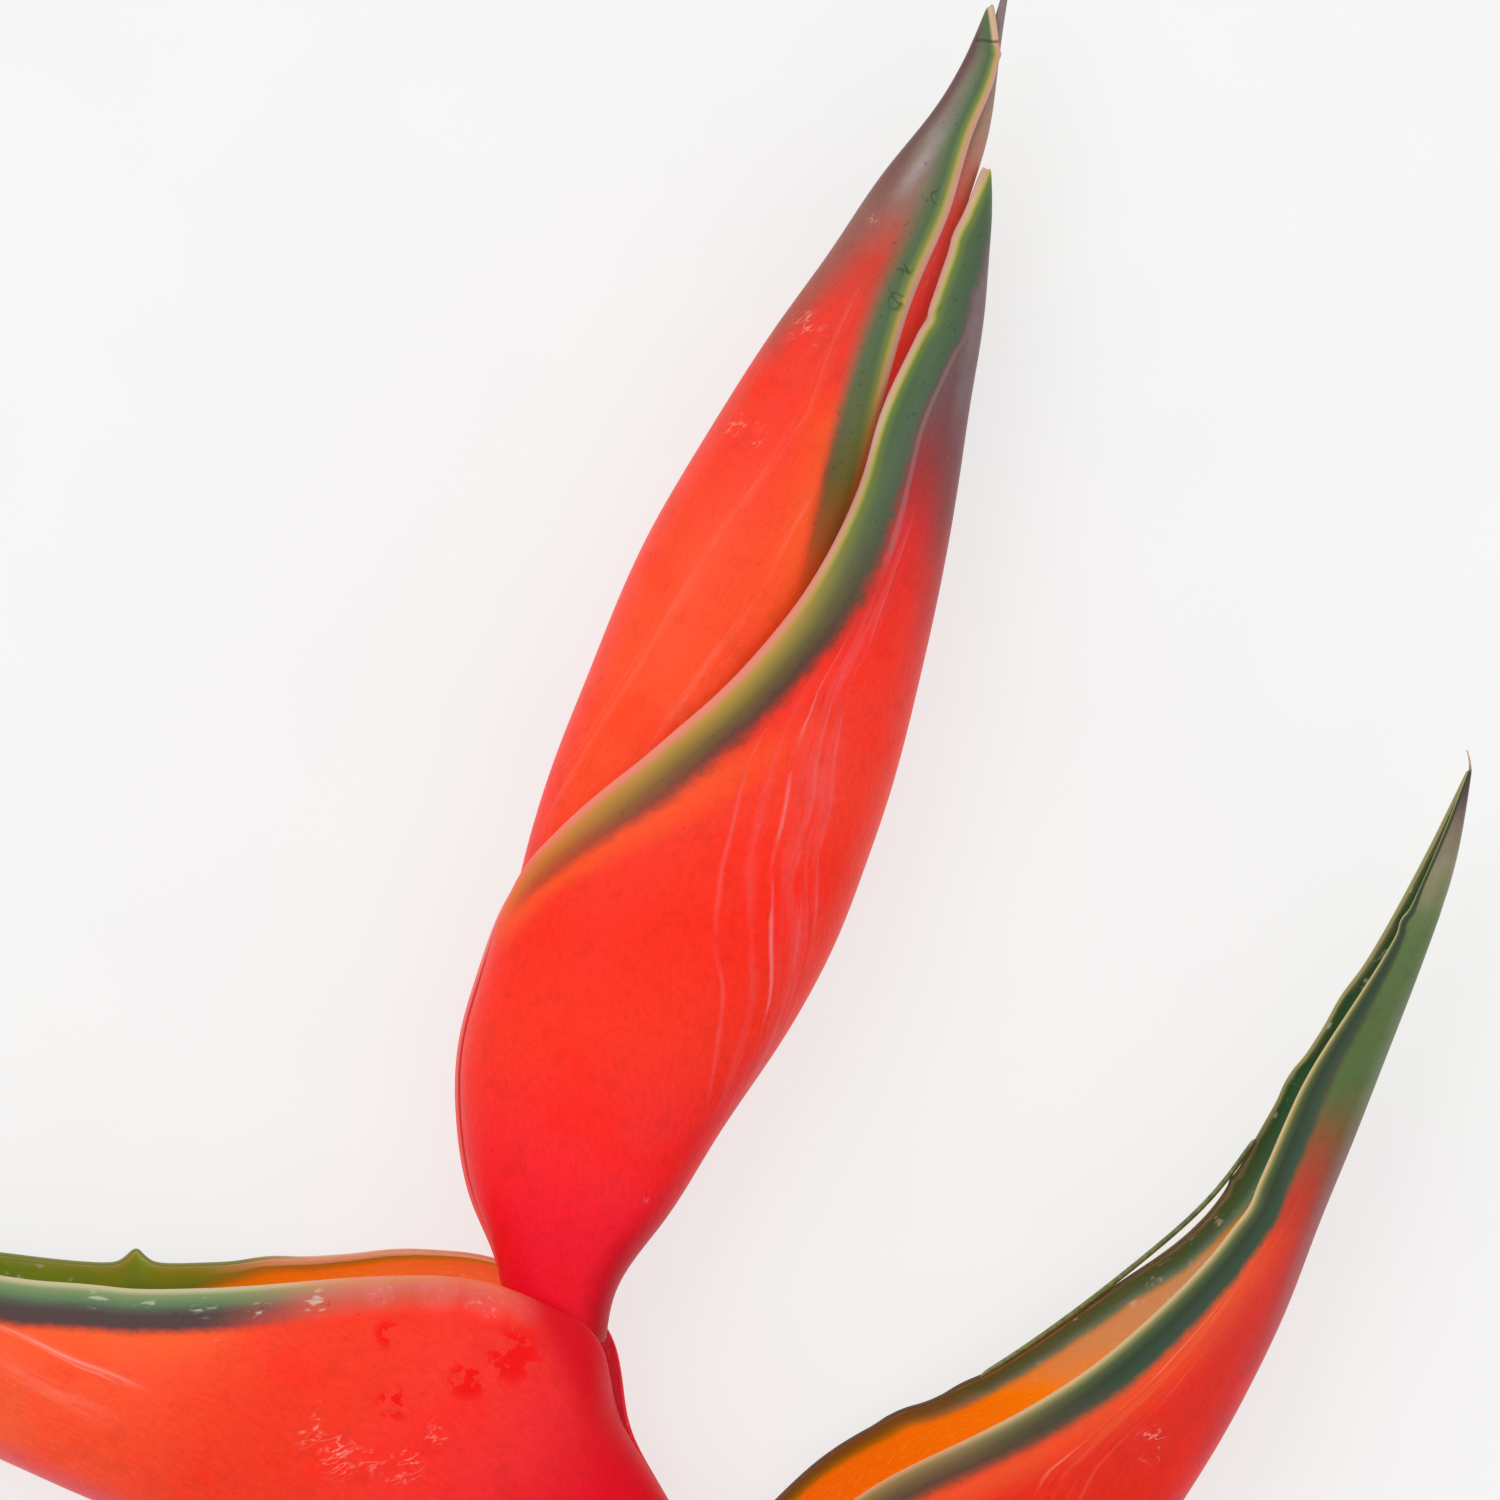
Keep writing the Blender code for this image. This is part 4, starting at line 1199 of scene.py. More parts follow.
# %% Colours of the lowest bract
FINISHES["bract_1"] = {
    "body": [
        (0.0, (200, 0, 30)), (0.15, (224, 12, 34)), (0.30, (228, 40, 30)), (0.42, (224, 44, 28)),
        (0.52, (220, 50, 40)), (0.62, (214, 58, 50)), (0.69, (188, 64, 50)), (0.735, (140, 84, 54)),
        (0.775, (86, 106, 66)), (0.89, (80, 104, 62)), (0.92, (138, 134, 102)),
        (0.955, (140, 124, 106)), (0.98, (104, 84, 84)), (1.0, (78, 66, 62)),
    ],
    "keel": [
        (0.0, (190, 0, 34)), (0.30, (210, 26, 40)), (0.48, (202, 40, 50)), (0.58, (182, 56, 60)),
        (0.66, (140, 74, 72)), (0.72, (102, 92, 64)), (0.76, (92, 110, 64)), (0.88, (98, 118, 74)),
        (0.93, (140, 134, 106)), (0.96, (128, 110, 98)), (0.985, (92, 74, 74)), (1.0, (72, 60, 58)),
    ],
    "keel_reach": [(0.0, 0.24), (0.5, 0.26), (0.66, 0.22), (0.74, 0.30), (0.8, 0.4), (1.0, 0.4)],
    "band": [
        (0.0, (222, 192, 156)), (0.10, (206, 184, 128)), (0.18, (140, 142, 78)), (0.30, (78, 94, 60)),
        (0.52, (54, 70, 54)), (0.84, (58, 78, 60)), (1.0, (86, 82, 58)),
    ],
    "fading_band": [
        (0.0, (236, 172, 122)), (0.10, (196, 150, 98)), (0.22, (140, 122, 74)), (0.45, (110, 92, 66)),
        (0.68, (92, 68, 54)), (0.86, (150, 70, 48)), (1.0, (220, 58, 36)),
    ],
    "fades": (0.44, 0.56),
    "band_width": [
        (0.32, 0.44), (0.42, 0.60), (0.54, 0.62), (0.64, 0.52), (0.75, 0.46), (0.85, 0.22),
        (0.92, 0.06),
    ],
    "band_strength": [(0.26, 0.0), (0.33, 0.6), (0.42, 1.0)],
    "fray": 0.18,
    "border": [(0.5, 0.80)],
    "glow": (0.34, 0.62),
    "edge": [
        (0.0, (236, 90, 60)), (0.35, (240, 176, 126)), (0.6, (226, 204, 160)), (0.78, (204, 176, 132)),
        (0.9, (156, 154, 100)), (1.0, (122, 108, 80)),
    ],
    "streaks": [
        (0.452, 0.0010, 0.3), (0.465, 0.0012, 0.6), (0.476, 0.0010, 0.35), (0.486, 0.0013, 0.6),
        (0.503, 0.0012, 0.45), (0.520, 0.0010, 0.3),
    ],
    "broad_streaks": [(0.484, 0.010, 0.2)],
    "streak_range": (0.38, 0.66),
    "painted_sheen": (0.60, 0.80, 0.8, 0.10),
}
print("bract_1 has", len(FINISHES["bract_1"]["body"]), "colours on its flank")

# %% Streaks and marks
# A band width or a keel reach of 1 is this many millimetres.
WIDEST_BAND = 8.0
WIDEST_KEEL = 16.0
STREAK_COLOURS = {
    "bract_1": (240, 128, 84),
    "bract_2": (255, 158, 140),
    "bract_3": (226, 132, 142),
    "bract_4": (252, 132, 110),
}
# Marks on the near side: the photograph's pixel and a radius in millimetres. The crimson of the foot
# starts at a line through two pixels.
MARKS = {
    "bract_1": {"rub": [(1150, 1440, 3.0)]},
    "bract_2": {
        "rub": [(325, 1425, 4.5), (352, 1448, 5.0), (404, 1462, 3.5), (440, 1424, 2.5), (222, 1330, 1.6)],
        "stain": [(514, 1352, 5.0), (470, 1376, 3.6), (390, 1330, 2.4), (396, 1398, 3.0)],
        "film": [(528, 1300, 3.4), (490, 1294, 4.0), (440, 1290, 3.4), (380, 1290, 2.6)],
        "glint": [(100, 1296, 2.0), (150, 1300, 2.0), (206, 1302, 2.2), (262, 1302, 2.2), (318, 1298, 2.2)],
        "crimson": ((535, 1310), (640, 1500)),
    },
    "bract_3": {"rub": [(648, 1188, 2.0)]},
    "bract_4": {
        "rub": [(744, 436, 3.6), (806, 330, 3.4), (872, 223, 1.4)],
        "ring": [(932, 198, 1.7), (905, 270, 1.5), (895, 302, 1.8)],
    },
}
print("marks:", {name: sorted(marks) for name, marks in MARKS.items()})

# %% [markdown]
# ## Layers of paint
#
# The skin is laid down as a painter would do it: first the flank with its keel, then the grain of the
# flesh, the band of the lip, the streaks, and last the marks. Each layer is one function that takes
# the colour so far and gives it back with its own layer on top.


# %% Flank, keel and grain
# The pale grey of a painted sheen, a highlight of the waxy skin beside the keel near the tip.
PAINTED_SHEEN = (176, 164, 170)
WARM = (255, 124, 64)
# How wide the warm clouds, the blotches, the specks and the fibres of the flesh are, in millimetres.
WARM_SIZE = 13.0
BLOTCH_SIZE = 3.6
SPECK_SIZE = 0.6
FIBRE_SIZE = 0.42
# The same noise is drawn out along the veins, as if the bract were this long and wide in millimetres.
FIBRE_STRETCH = (40.0, 70.0)


def body_colour(look, here, along, keel, patches):
    """The colour of the flank and of the keel, with a painted grey sheen beside the keel."""
    body = colour_along(along + (patches - 0.5) * 0.05, look["body"])
    keel_colour = colour_along(along + (patches - 0.5) * 0.04, look["keel"])
    reach = number_along(along, look["keel_reach"]) * WIDEST_KEEL
    keel_mask = 1 - rises(keel / reach + (patches - 0.5) * 0.30, 0.1, 1.0)
    colour = mixed(keel_mask * 0.9, body, keel_colour)
    # A painted sheen: a pale grey highlight along the keel near the tip.
    start, end, middle, amount = look["painted_sheen"]
    painted_sheen = window(along, start, end, 0.06) * (1 - rises(abs(keel - middle), 0.0, 1.4))
    painted_sheen = painted_sheen * (0.5 + clouds(here, 3.0, 4.0, 0.7)) * amount
    return mixed(painted_sheen, colour, paint(*PAINTED_SHEEN))


def grain_colour(colour, here, along, vein):
    """Adds the fine grain and fibres of the flesh."""
    warm = rises(clouds(here, WARM_SIZE), 0.44, 0.66) * (1 - rises(along, 0.66, 0.78))
    colour = mixed(warm * 0.35, colour, mixed(warm, colour, paint(*WARM), "OVERLAY"))
    fibre = drawn_out(along, vein, *FIBRE_STRETCH, FIBRE_SIZE, 3.0, 0.62)
    speck = clouds(here, SPECK_SIZE, 2.0, 0.6)
    blotch = clouds(here, BLOTCH_SIZE, 4.0, 0.68)
    light = colour.node("ShaderNodeHueSaturation", None, {"Value": 1.15, "Color": colour})
    dark = colour.node("ShaderNodeHueSaturation", None, {"Value": 0.80, "Color": colour})
    colour = mixed(rises(fibre, 0.48, 0.72) * 0.5, colour, light)
    colour = mixed(rises(fibre, 0.50, 0.28) * 0.5, colour, dark)
    colour = mixed(rises(speck, 0.48, 0.28) * 0.4, colour, dark)
    colour = mixed(rises(blotch, 0.50, 0.32) * 0.45, colour, dark)
    return colour, fibre, speck


print("the flesh has grain of", WARM_SIZE, BLOTCH_SIZE, SPECK_SIZE, "and", FIBRE_SIZE, "mm")


# %% The band of the lip
FRAY_SIZE = 1.9
FLECK_SIZE = 0.8
BAND_GLOW = (252, 112, 44)
FLECK = (70, 50, 40)


def band_over(colour, look, here, along, lip, patches):
    """Lays the band of the lip over a colour."""
    frays = clouds(here, FRAY_SIZE, 4.0, 0.65)
    width = number_along(along, look["band_width"]) * WIDEST_BAND
    share = lip / width
    frayed = share + (frays - 0.5) * look["fray"] * rises(share, 0.35, 1.0)
    fresh = colour_along(frayed, look["band"])
    fading = colour_along(frayed, look["fading_band"])
    low, high = look["fades"]
    band = mixed(rises(along + (patches - 0.5) * 0.05, low, high), fading, fresh)
    strength = number_along(along + (patches - 0.5) * 0.03, look["band_strength"])
    low, high = look["glow"]
    glow = window(along, low, high, 0.06) * (1 - rises(frayed, 0.8, 2.1)) * 0.4
    colour = mixed(glow, colour, paint(*BAND_GLOW))
    border = number_along(along, look["border"])
    colour = mixed((1 - rises(frayed, border, 1.14)) * strength, colour, band)
    flecks = rises(clouds(here, FLECK_SIZE, 3.0, 0.7), 0.60, 0.68)
    flecks = flecks * window(share, 0.55, 0.95, 0.1) * strength
    return mixed(flecks * 0.4, colour, paint(*FLECK)), share


print("the widest band is", WIDEST_BAND, "mm wide")


# %% Streaks over the skin
STREAK_GLINT = (250, 190, 186)
BREAK_SIZE = 12.0
BREAK_STRETCH = (150.0, 900.0)


def spiked(value, lines):
    """A mask of thin lines at chosen places of a number from 0 to 1."""
    stops = [(0.0, 0.0)]
    for middle, half, strength in sorted(lines):
        stops += [(middle - half, 0.0), (middle, strength), (middle + half, 0.0)]
    return number_along(value, stops)


def streaks_over(colour, name, along, across, vein, share):
    """Lays the long pale streaks of rubbed wax over a colour."""
    look = FINISHES[name]
    low, high = look["streak_range"]
    broken = rises(drawn_out(along, vein, *BREAK_STRETCH, BREAK_SIZE), 0.36, 0.60)
    shown = near_side(across) * window(along, low, high, 0.05) * broken * rises(share, 0.9, 1.2)
    broad = spiked(vein, look["broad_streaks"]) * shown
    thin = spiked(vein, look["streaks"]) * shown
    pale = paint(*STREAK_COLOURS[name])
    colour = mixed(broad, colour, pale)
    return mixed(thin, colour, mixed(thin, pale, paint(*STREAK_GLINT))), thin


print("streaks:", {name: len(look["streaks"]) for name, look in FINISHES.items()})


# %% Marks over the skin
# The screen colour of each kind of mark, and how strongly it covers what is under it.
MARK_PAINTS = {
    "rub": ((255, 170, 158), 1.0),
    "stain": ((238, 12, 8), 0.85),
    "ring": ((46, 66, 48), 0.6),
    "film": ((246, 156, 150), 1.0),
    "glint": ((206, 210, 190), 0.55),
    "crimson": ((210, 0, 34), 0.9),
}
# Scratches, smears and films are weaker, and a film is stronger where it catches light.
SCRATCH_COVER = 0.45
SMEAR_COVER = 0.30
FILM_COVER = 0.10
LIT_FILM_COVER = 0.45
# Scratches are noise that is squeezed this much, and glints run along the lip of a bract this long.
SCRATCH_SQUEEZE = (0.45, 1.6, 1.0)
GLINT_STRETCH = (60.0, 1.0)


def rubbed_mask(here, area):
    """A mask of scratches and smears in an area."""
    area = area * rises(clouds(here, 4.0), 0.44, 0.58)
    squeezed = here.node("ShaderNodeMapping", None, {"Vector": here, "Scale": SCRATCH_SQUEEZE})
    lines = 1 - rises(abs(clouds(squeezed, 1.8, 2.0) - 0.5), 0.006, 0.030)
    smears = rises(clouds(here, 1.6), 0.58, 0.72)
    return area * (lines * SCRATCH_COVER + smears * SMEAR_COVER)


def mark_over(colour, mask, kind):
    """Lays one kind of mark over a colour."""
    screen_colour, cover = MARK_PAINTS[kind]
    return mixed(mask * cover, colour, paint(*screen_colour))


def marks_over(colour, name, here, along, across, lip):
    """Lays a bract's marks and painted highlights over a colour, and gives the rubbed ones as a mask."""
    near = near_side(across)
    marks = MARKS[name]
    rubbed = rubbed_mask(here, spots(here, marks["rub"]) * near)
    colour = mark_over(colour, rubbed, "rub")
    if "stain" in marks:
        blots = rises(clouds(here, 2.4, 3.0, 0.6), 0.48, 0.51)
        colour = mark_over(colour, spots(here, marks["stain"]) * near * blots, "stain")
    if "ring" in marks:
        rings = 1 - rises(abs(clouds(here, 1.5, 0.5) - 0.52), 0.02, 0.05)
        colour = mark_over(colour, spots(here, marks["ring"]) * near * rings, "ring")
    if "film" in marks:
        film = spots(here, marks["film"]) * near
        # The lit spots of the film are painted highlights.
        lit = rises(clouds(here, 1.1, 3.0, 0.6), 0.56, 0.72)
        colour = mark_over(colour, film * (FILM_COVER + lit * LIT_FILM_COVER), "film")
        rubbed = rubbed + film * 0.2
    if "glint" in marks:
        # Glints are painted highlights: short pale strokes of water along the lip.
        strokes = rises(drawn_out(along, lip, *GLINT_STRETCH, 0.8, 2.0), 0.54, 0.68)
        colour = mark_over(colour, spots(here, marks["glint"]) * near * strokes, "glint")
    if "crimson" in marks:
        colour = mark_over(colour, beyond(here, *marks["crimson"]) * near, "crimson")
    return colour, rubbed


print("kinds of marks:", sorted(MARK_PAINTS))

# %% [markdown]
# ## Details of two skins
#
# On the third bract a thin mauve line runs along the outer side of the band. The tip of the fourth is
# dry and cracked at its lip. Then the layers are put together, one material for each bract.


# %% Skin of each bract
PATCH_SIZE = 12.0
BORDER_LINE = (178, 140, 148)
DRY_TIP = (214, 176, 146)
CRACK = (60, 66, 60)


def border_line(colour, along, across, share):
    """Lays the thin mauve line outside the third bract's band over a colour."""
    line = 1 - rises(abs(share - 1.0), 0.02, 0.07)
    line = line * window(along, 0.74, 0.86, 0.04) * near_side(across)
    return mixed(line * 0.25, colour, paint(*BORDER_LINE))


def dry_tip(colour, along, lip, patches):
    """Lays the dry, cracked tip of the fourth bract over a colour."""
    dry = rises(along + (patches - 0.5) * 0.01, 0.966, 0.974) * (1 - rises(lip, 0.7, 1.1))
    crack = 1 - rises(abs(along + patches * 0.03 - 0.988), 0.0004, 0.0024)
    colour = mixed(dry, colour, paint(*DRY_TIP))
    return mixed(crack * 0.7, colour, paint(*CRACK))


def bract_skin(name):
    """Makes the finish of a bract's outside."""
    look = FINISHES[name]
    material, shader, here = new_finish(name + "_skin")
    along = attribute(here, "along")
    across = attribute(here, "across")
    lip = attribute(here, "lip")
    keel = attribute(here, "keel")
    vein = attribute(here, "vein")
    patches = clouds(here, PATCH_SIZE)
    colour = body_colour(look, here, along, keel, patches)
    colour, fibre, speck = grain_colour(colour, here, along, vein)
    colour, share = band_over(colour, look, here, along, lip, patches)
    colour, thin = streaks_over(colour, name, along, across, vein, share)
    colour, rubbed = marks_over(colour, name, here, along, across, lip)
    if name == "bract_3":
        colour = border_line(colour, along, across, share)
    if name == "bract_4":
        colour = dry_tip(colour, along, lip, patches)
    finish_off(shader, colour, 0.40 + (speck - 0.5) * 0.16 + rubbed * 0.15, SKIN_GLOSS)
    add_relief(shader, fibre * 0.5 + speck * 0.35 + rubbed * 0.3 + thin * 0.3, 0.4)
    return material


for name, piece in bracts.items():
    piece.data.materials.append(bract_skin(name))
print("skins:", [piece.data.materials[0].name for piece in bracts.values()])

# %% [markdown]
# ## Lining and cut edge
#
# Inside, a bract is bright orange near its foot, tan further out and green along the lips. Its flesh is
# thin, and the lining glows a little in its own colour: a painted glow that stands in for light shining
# through and lifts the shade in the hollow. The edge of the lip is a thin pale line, because it has lost
# its skin. Solidify gives the inner wall and the rim the next two materials of the piece, so each gets
# its own finish.

# %% Colours of each lining
# The two upright bracts, which open least, share the bands of their linings.
UPRIGHT_LINING = {
    "band": [(0.0, (196, 150, 120)), (0.2, (110, 120, 60)), (0.6, (84, 104, 52)), (1.0, (150, 100, 34))],
    "fading_band": [(0.0, (206, 130, 100)), (0.3, (190, 110, 50)), (1.0, (214, 100, 24))],
    "fades": (0.55, 0.70),
    "band_width": [(0.4, 0.3), (0.6, 0.5), (0.9, 0.6)],
    "band_strength": [(0.42, 0.2), (0.55, 1.0)],
}
LININGS = {
    "bract_1": {
        "body": [
            (0.0, (190, 30, 46)), (0.20, (200, 40, 46)), (0.25, (228, 84, 6)), (0.32, (234, 96, 2)),
            (0.42, (230, 120, 4)), (0.50, (236, 142, 14)), (0.55, (204, 152, 96)),
            (0.63, (198, 154, 112)), (0.665, (210, 140, 44)), (0.69, (92, 108, 64)),
            (1.0, (84, 104, 60)),
        ],
        "band": [
            (0.0, (116, 104, 78)), (0.10, (56, 88, 50)), (0.5, (64, 104, 78)), (0.8, (100, 130, 108)),
            (1.0, (140, 128, 66)),
        ],
        "fading_band": [
            (0.0, (126, 84, 62)), (0.12, (100, 82, 40)), (0.5, (118, 98, 32)), (1.0, (190, 122, 14)),
        ],
        "fades": (0.44, 0.52),
        "band_width": [
            (0.28, 0.08), (0.36, 0.20), (0.45, 0.32), (0.52, 0.36), (0.60, 0.38), (0.68, 0.50),
            (0.9, 0.8),
        ],
        "band_strength": [(0.24, 0.0), (0.27, 0.2), (0.34, 1.0)],
    },
    "bract_2": {
        "body": [
            (0.0, (190, 34, 60)), (0.20, (200, 40, 62)), (0.24, (224, 98, 66)), (0.31, (228, 110, 58)),
            (0.37, (229, 122, 42)), (0.43, (226, 124, 22)), (0.47, (206, 124, 20)),
            (0.53, (116, 112, 44)), (0.75, (92, 118, 52)), (1.0, (92, 104, 60)),
        ],
        "band": [
            (0.0, (138, 150, 78)), (0.08, (146, 158, 70)), (0.25, (124, 148, 46)), (0.7, (98, 126, 40)),
            (1.0, (72, 96, 40)),
        ],
        "fading_band": [
            (0.0, (208, 168, 132)), (0.30, (206, 160, 118)), (0.42, (150, 120, 44)),
            (1.0, (224, 120, 12)),
        ],
        "fades": (0.44, 0.50),
        "band_width": [(0.26, 0.10), (0.36, 0.18), (0.46, 0.30), (0.54, 0.6), (0.8, 0.8)],
        "band_strength": [(0.20, 0.0), (0.25, 0.5), (0.34, 1.0)],
    },
    "bract_3": {
        "body": [(0.0, (204, 40, 74)), (0.42, (214, 60, 80)), (0.7, (206, 120, 40)), (1.0, (104, 104, 66))],
        **UPRIGHT_LINING,
    },
    "bract_4": {
        "body": [(0.0, (186, 34, 14)), (0.4, (222, 88, 18)), (0.7, (206, 120, 40)), (1.0, (104, 104, 66))],
        **UPRIGHT_LINING,
    },
}
# The far lips of the two open bracts, from foot to tip.
FAR_EDGES = {
    "bract_1": [
        (0.0, (204, 24, 38)), (0.22, (206, 40, 40)), (0.32, (150, 90, 50)), (0.42, (84, 66, 44)),
        (0.72, (80, 74, 52)), (0.8, (134, 138, 84)),
    ],
    "bract_2": [
        (0.0, (206, 8, 38)), (0.20, (214, 30, 48)), (0.25, (216, 130, 104)), (0.42, (206, 156, 124)),
        (0.47, (120, 124, 66)), (1.0, (110, 120, 64)),
    ],
}
print("linings:", {name: len(look["body"]) for name, look in LININGS.items()})


# %% Lining and edge of each bract
# The linings glow in their own colours, and the lip edges half as much: painted light that lifts the shade
# inside the bracts.
LINING_GLOW = 0.32
LINING_FIBRE = (248, 186, 110)
LINING_STRETCH = (60.0, 60.0)
# The whitish colour of painted highlights on the lining.
LINING_HIGHLIGHT = (214, 206, 196)
EDGE_GRAIN = (176, 120, 84)


def bract_lining(name):
    """Makes the finish of a bract's inside, with painted whitish highlights past its middle."""
    look = LININGS[name]
    material, shader, here = new_finish(name + "_lining")
    along = attribute(here, "along")
    lip = attribute(here, "lip")
    vein = attribute(here, "vein")
    patches = clouds(here, 7.0, 4.0)
    body = colour_along(along + (patches - 0.5) * 0.04, look["body"])
    fibre = drawn_out(along, vein, *LINING_STRETCH, 0.34, 3.0, 0.6)
    body = mixed(rises(fibre, 0.5, 0.8) * 0.22, body, paint(*LINING_FIBRE))
    width = number_along(along, look["band_width"]) * WIDEST_BAND
    frayed = lip / width + (patches - 0.5) * 0.4
    low, high = look["fades"]
    fresh = colour_along(frayed, look["band"])
    fading = colour_along(frayed, look["fading_band"])
    band = mixed(rises(along, low, high), fading, fresh)
    strength = number_along(along, look["band_strength"])
    colour = mixed((1 - rises(frayed, 0.75, 1.15)) * strength, body, band)
    # Whitish spots past the middle of the lining are painted highlights.
    lining_highlight = rises(clouds(here, 2.6), 0.60, 0.72) * rises(along, 0.50, 0.56)
    colour = mixed(lining_highlight * 0.45, colour, paint(*LINING_HIGHLIGHT))
    finish_off(shader, colour, 0.42 + (patches - 0.5) * 0.2, 0.35, LINING_GLOW)
    add_relief(shader, fibre, 0.4)
    return material


def bract_edge(name):
    """Makes the finish of the thin pale edge of a bract's lips."""
    material, shader, here = new_finish(name + "_edge")
    along = attribute(here, "along")
    grain = clouds(here, 0.8)
    colour = colour_along(along, FINISHES[name]["edge"])
    if name in FAR_EDGES:
        far = rises(attribute(here, "across"), -0.02, 0.02)
        colour = mixed(far, colour, colour_along(along, FAR_EDGES[name]))
    colour = mixed(rises(grain, 0.5, 0.8) * 0.30, colour, paint(*EDGE_GRAIN))
    finish_off(shader, colour, 0.5 + (grain - 0.5) * 0.2, 0.3, LINING_GLOW / 2)
    return material


for name, piece in bracts.items():
    piece.data.materials.append(bract_lining(name))
    piece.data.materials.append(bract_edge(name))
print("finishes per bract:", [len(piece.data.materials) for piece in bracts.values()])

# %% [markdown]
# ## The split lip and the dry tip
#
# Past the middle of the lowest bract's far lip a thin strip has split off, and a slit of light shows behind
# it. At the bract's very tip hangs a dry, bent hair. Both are small, so they are their own pieces: the
# strip is a narrow grid laid along the lip, and the hair is a thin tube that tapers.

# %% Strip and hair
STRIP_ROWS = np.linspace(0.515, 0.745, 61)
STRIP_WIDTH = 0.55
STRIP_THICKNESS = 0.45
STRIP_COLUMNS = (-0.5, 0.0, 0.5)
# How far the strip stands off the lip, how far its ends are tucked in, how high its back is, and how
# fast it widens from its ends.
STRIP_OFF_LIP = 0.05
STRIP_TUCK = 0.45
STRIP_CROWN = 0.25
STRIP_TAPER = 0.4
# Each place of the hair: x and y in the side view, its height, and the radius there.
HAIR = [
    (93.5, -3.6, MIDDLE_HEIGHT, 0.20),
    (93.6, -1.8, MIDDLE_HEIGHT, 0.15),
    (93.2, 0.0, MIDDLE_HEIGHT, 0.08),
]
HAIR_RINGS = 20
HAIR_SIDES = 10
MERGE_WITHIN = 0.001


def make_strip():
    """Lays a thin strip where the lip was before it split."""
    sides = bract_sheet(fine_stations("bract_1"), STRIP_ROWS, np.array((0.0, 1.0)))
    sides = sides + between(moves["bract_1"], STRIP_ROWS)[:, [KEEL_COLUMN, -1]]
    keel = sides[:, 0]
    lip = sides[:, 1]
    outward = lip[:, :2] - keel[:, :2]
    outward /= np.linalg.norm(outward, axis=1, keepdims=True)
    share = np.linspace(0.0, 1.0, len(STRIP_ROWS))
    taper = np.sin(math.pi * share) ** STRIP_TAPER
    points = np.zeros((len(STRIP_ROWS), len(STRIP_COLUMNS), 3))
    for column, offset in enumerate(STRIP_COLUMNS):
        aside = offset * STRIP_WIDTH * taper + STRIP_OFF_LIP - STRIP_TUCK * (1 - taper)
        points[:, column] = lip
        points[:, column, :2] += outward * aside[:, None]
        points[:, column, 2] += STRIP_CROWN * math.cos(math.pi * offset)
    strip = grid_of(points)
    bmesh.ops.solidify(strip, geom=strip.faces[:], thickness=STRIP_THICKNESS)
    bmesh.ops.recalc_face_normals(strip, faces=strip.faces[:])
    lay_down(strip)
    piece = new_piece("split_strip", strip)
    round_off(piece)
    return piece


def make_hair():
    """Sweeps the dry hair at the tip of the lowest bract."""
    path = smooth_line(HAIR, np.linspace(0.0, 1.0, HAIR_RINGS + 1))
    hair = tube_of(path, HAIR_SIDES)
    bmesh.ops.remove_doubles(hair, verts=hair.verts[:], dist=MERGE_WITHIN)
    bmesh.ops.holes_fill(hair, edges=[edge for edge in hair.edges if edge.is_boundary], sides=0)
    bmesh.ops.recalc_face_normals(hair, faces=hair.faces[:])
    lay_down(hair)
    return new_piece("tip_hair", hair)


def dry_finish(name, pale, dark):
    """Makes the finish of a dried or torn bit of lip."""
    material, shader, here = new_finish(name)
    grain = clouds(here, 1.2, 4.0, 0.7)
    colour = mixed(rises(grain, 0.35, 0.7), paint(*pale), paint(*dark))
    finish_off(shader, colour, 0.55 + (grain - 0.5) * 0.3, 0.5)
    add_relief(shader, grain, 0.3)
    return material


strip = make_strip()
strip.data.materials.append(dry_finish("split_lip", (116, 130, 72), (74, 92, 48)))
hair = make_hair()
hair.data.materials.append(dry_finish("dry_hair", (214, 184, 150), (150, 110, 80)))
for piece in (strip, hair):
    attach(piece, "root")
print("strip and hair faces:", len(strip.data.polygons), len(hair.data.polygons))

# %% [markdown]
# ## The rolled bud
#
# The youngest bract is still rolled tight: only its dark red flank and its thin grey tip show between
# the lips of the two bracts round it. It is the same spindle as in the packed model with more rings, a
# thinner tip, and a shallow groove where its own edge lies over itself.

# %% The bud and its finish
BUD_RINGS = 110
BUD_SIDES = 40
GROOVE_DEPTH = 0.5
# The groove starts this far round the bud, and turns this much further on its way to the tip.
GROOVE_TURN = 0.28
GROOVE_TWIST = 0.25
GROOVE_WIDTH = 0.07
FINE_BUD_KEEL = BUD_KEEL[:-3] + [(32.3, 89.0), (33.4, 97.0), (34.5, 103.5)]
FINE_BUD_BACK = BUD_BACK[:-3] + [(30.2, 89.2), (32.2, 96.5), (34.5, 103.5)]
# The bud glows in its own colour: painted light that stands in for light through its thin skin.
BUD_GLOW = 0.42
BUD_STRETCH = (15.0, 20.0)


def make_bud():
    """Builds the rolled bud with its groove."""
    body = spindle(FINE_BUD_KEEL, FINE_BUD_BACK, BUD_WIDTHS, BUD_RINGS, BUD_SIDES)
    body.normal_update()
    along_layer = body.verts.layers.float["along"]
    turn_layer = body.verts.layers.float["turn"]
    for vert in body.verts:
        share = vert[along_layer]
        groove = GROOVE_TURN + GROOVE_TWIST * share
        away = abs(vert[turn_layer] - groove) / GROOVE_WIDTH
        depth = GROOVE_DEPTH * math.sin(math.pi * share) * math.exp(-away * away)
        vert.co -= vert.normal * depth
    lay_down(body)
    piece = new_piece("fine_tip_bud", body)
    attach(piece, "root")
    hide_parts("tip_bud")
    return piece


BUD_FIBRE = (206, 150, 130)


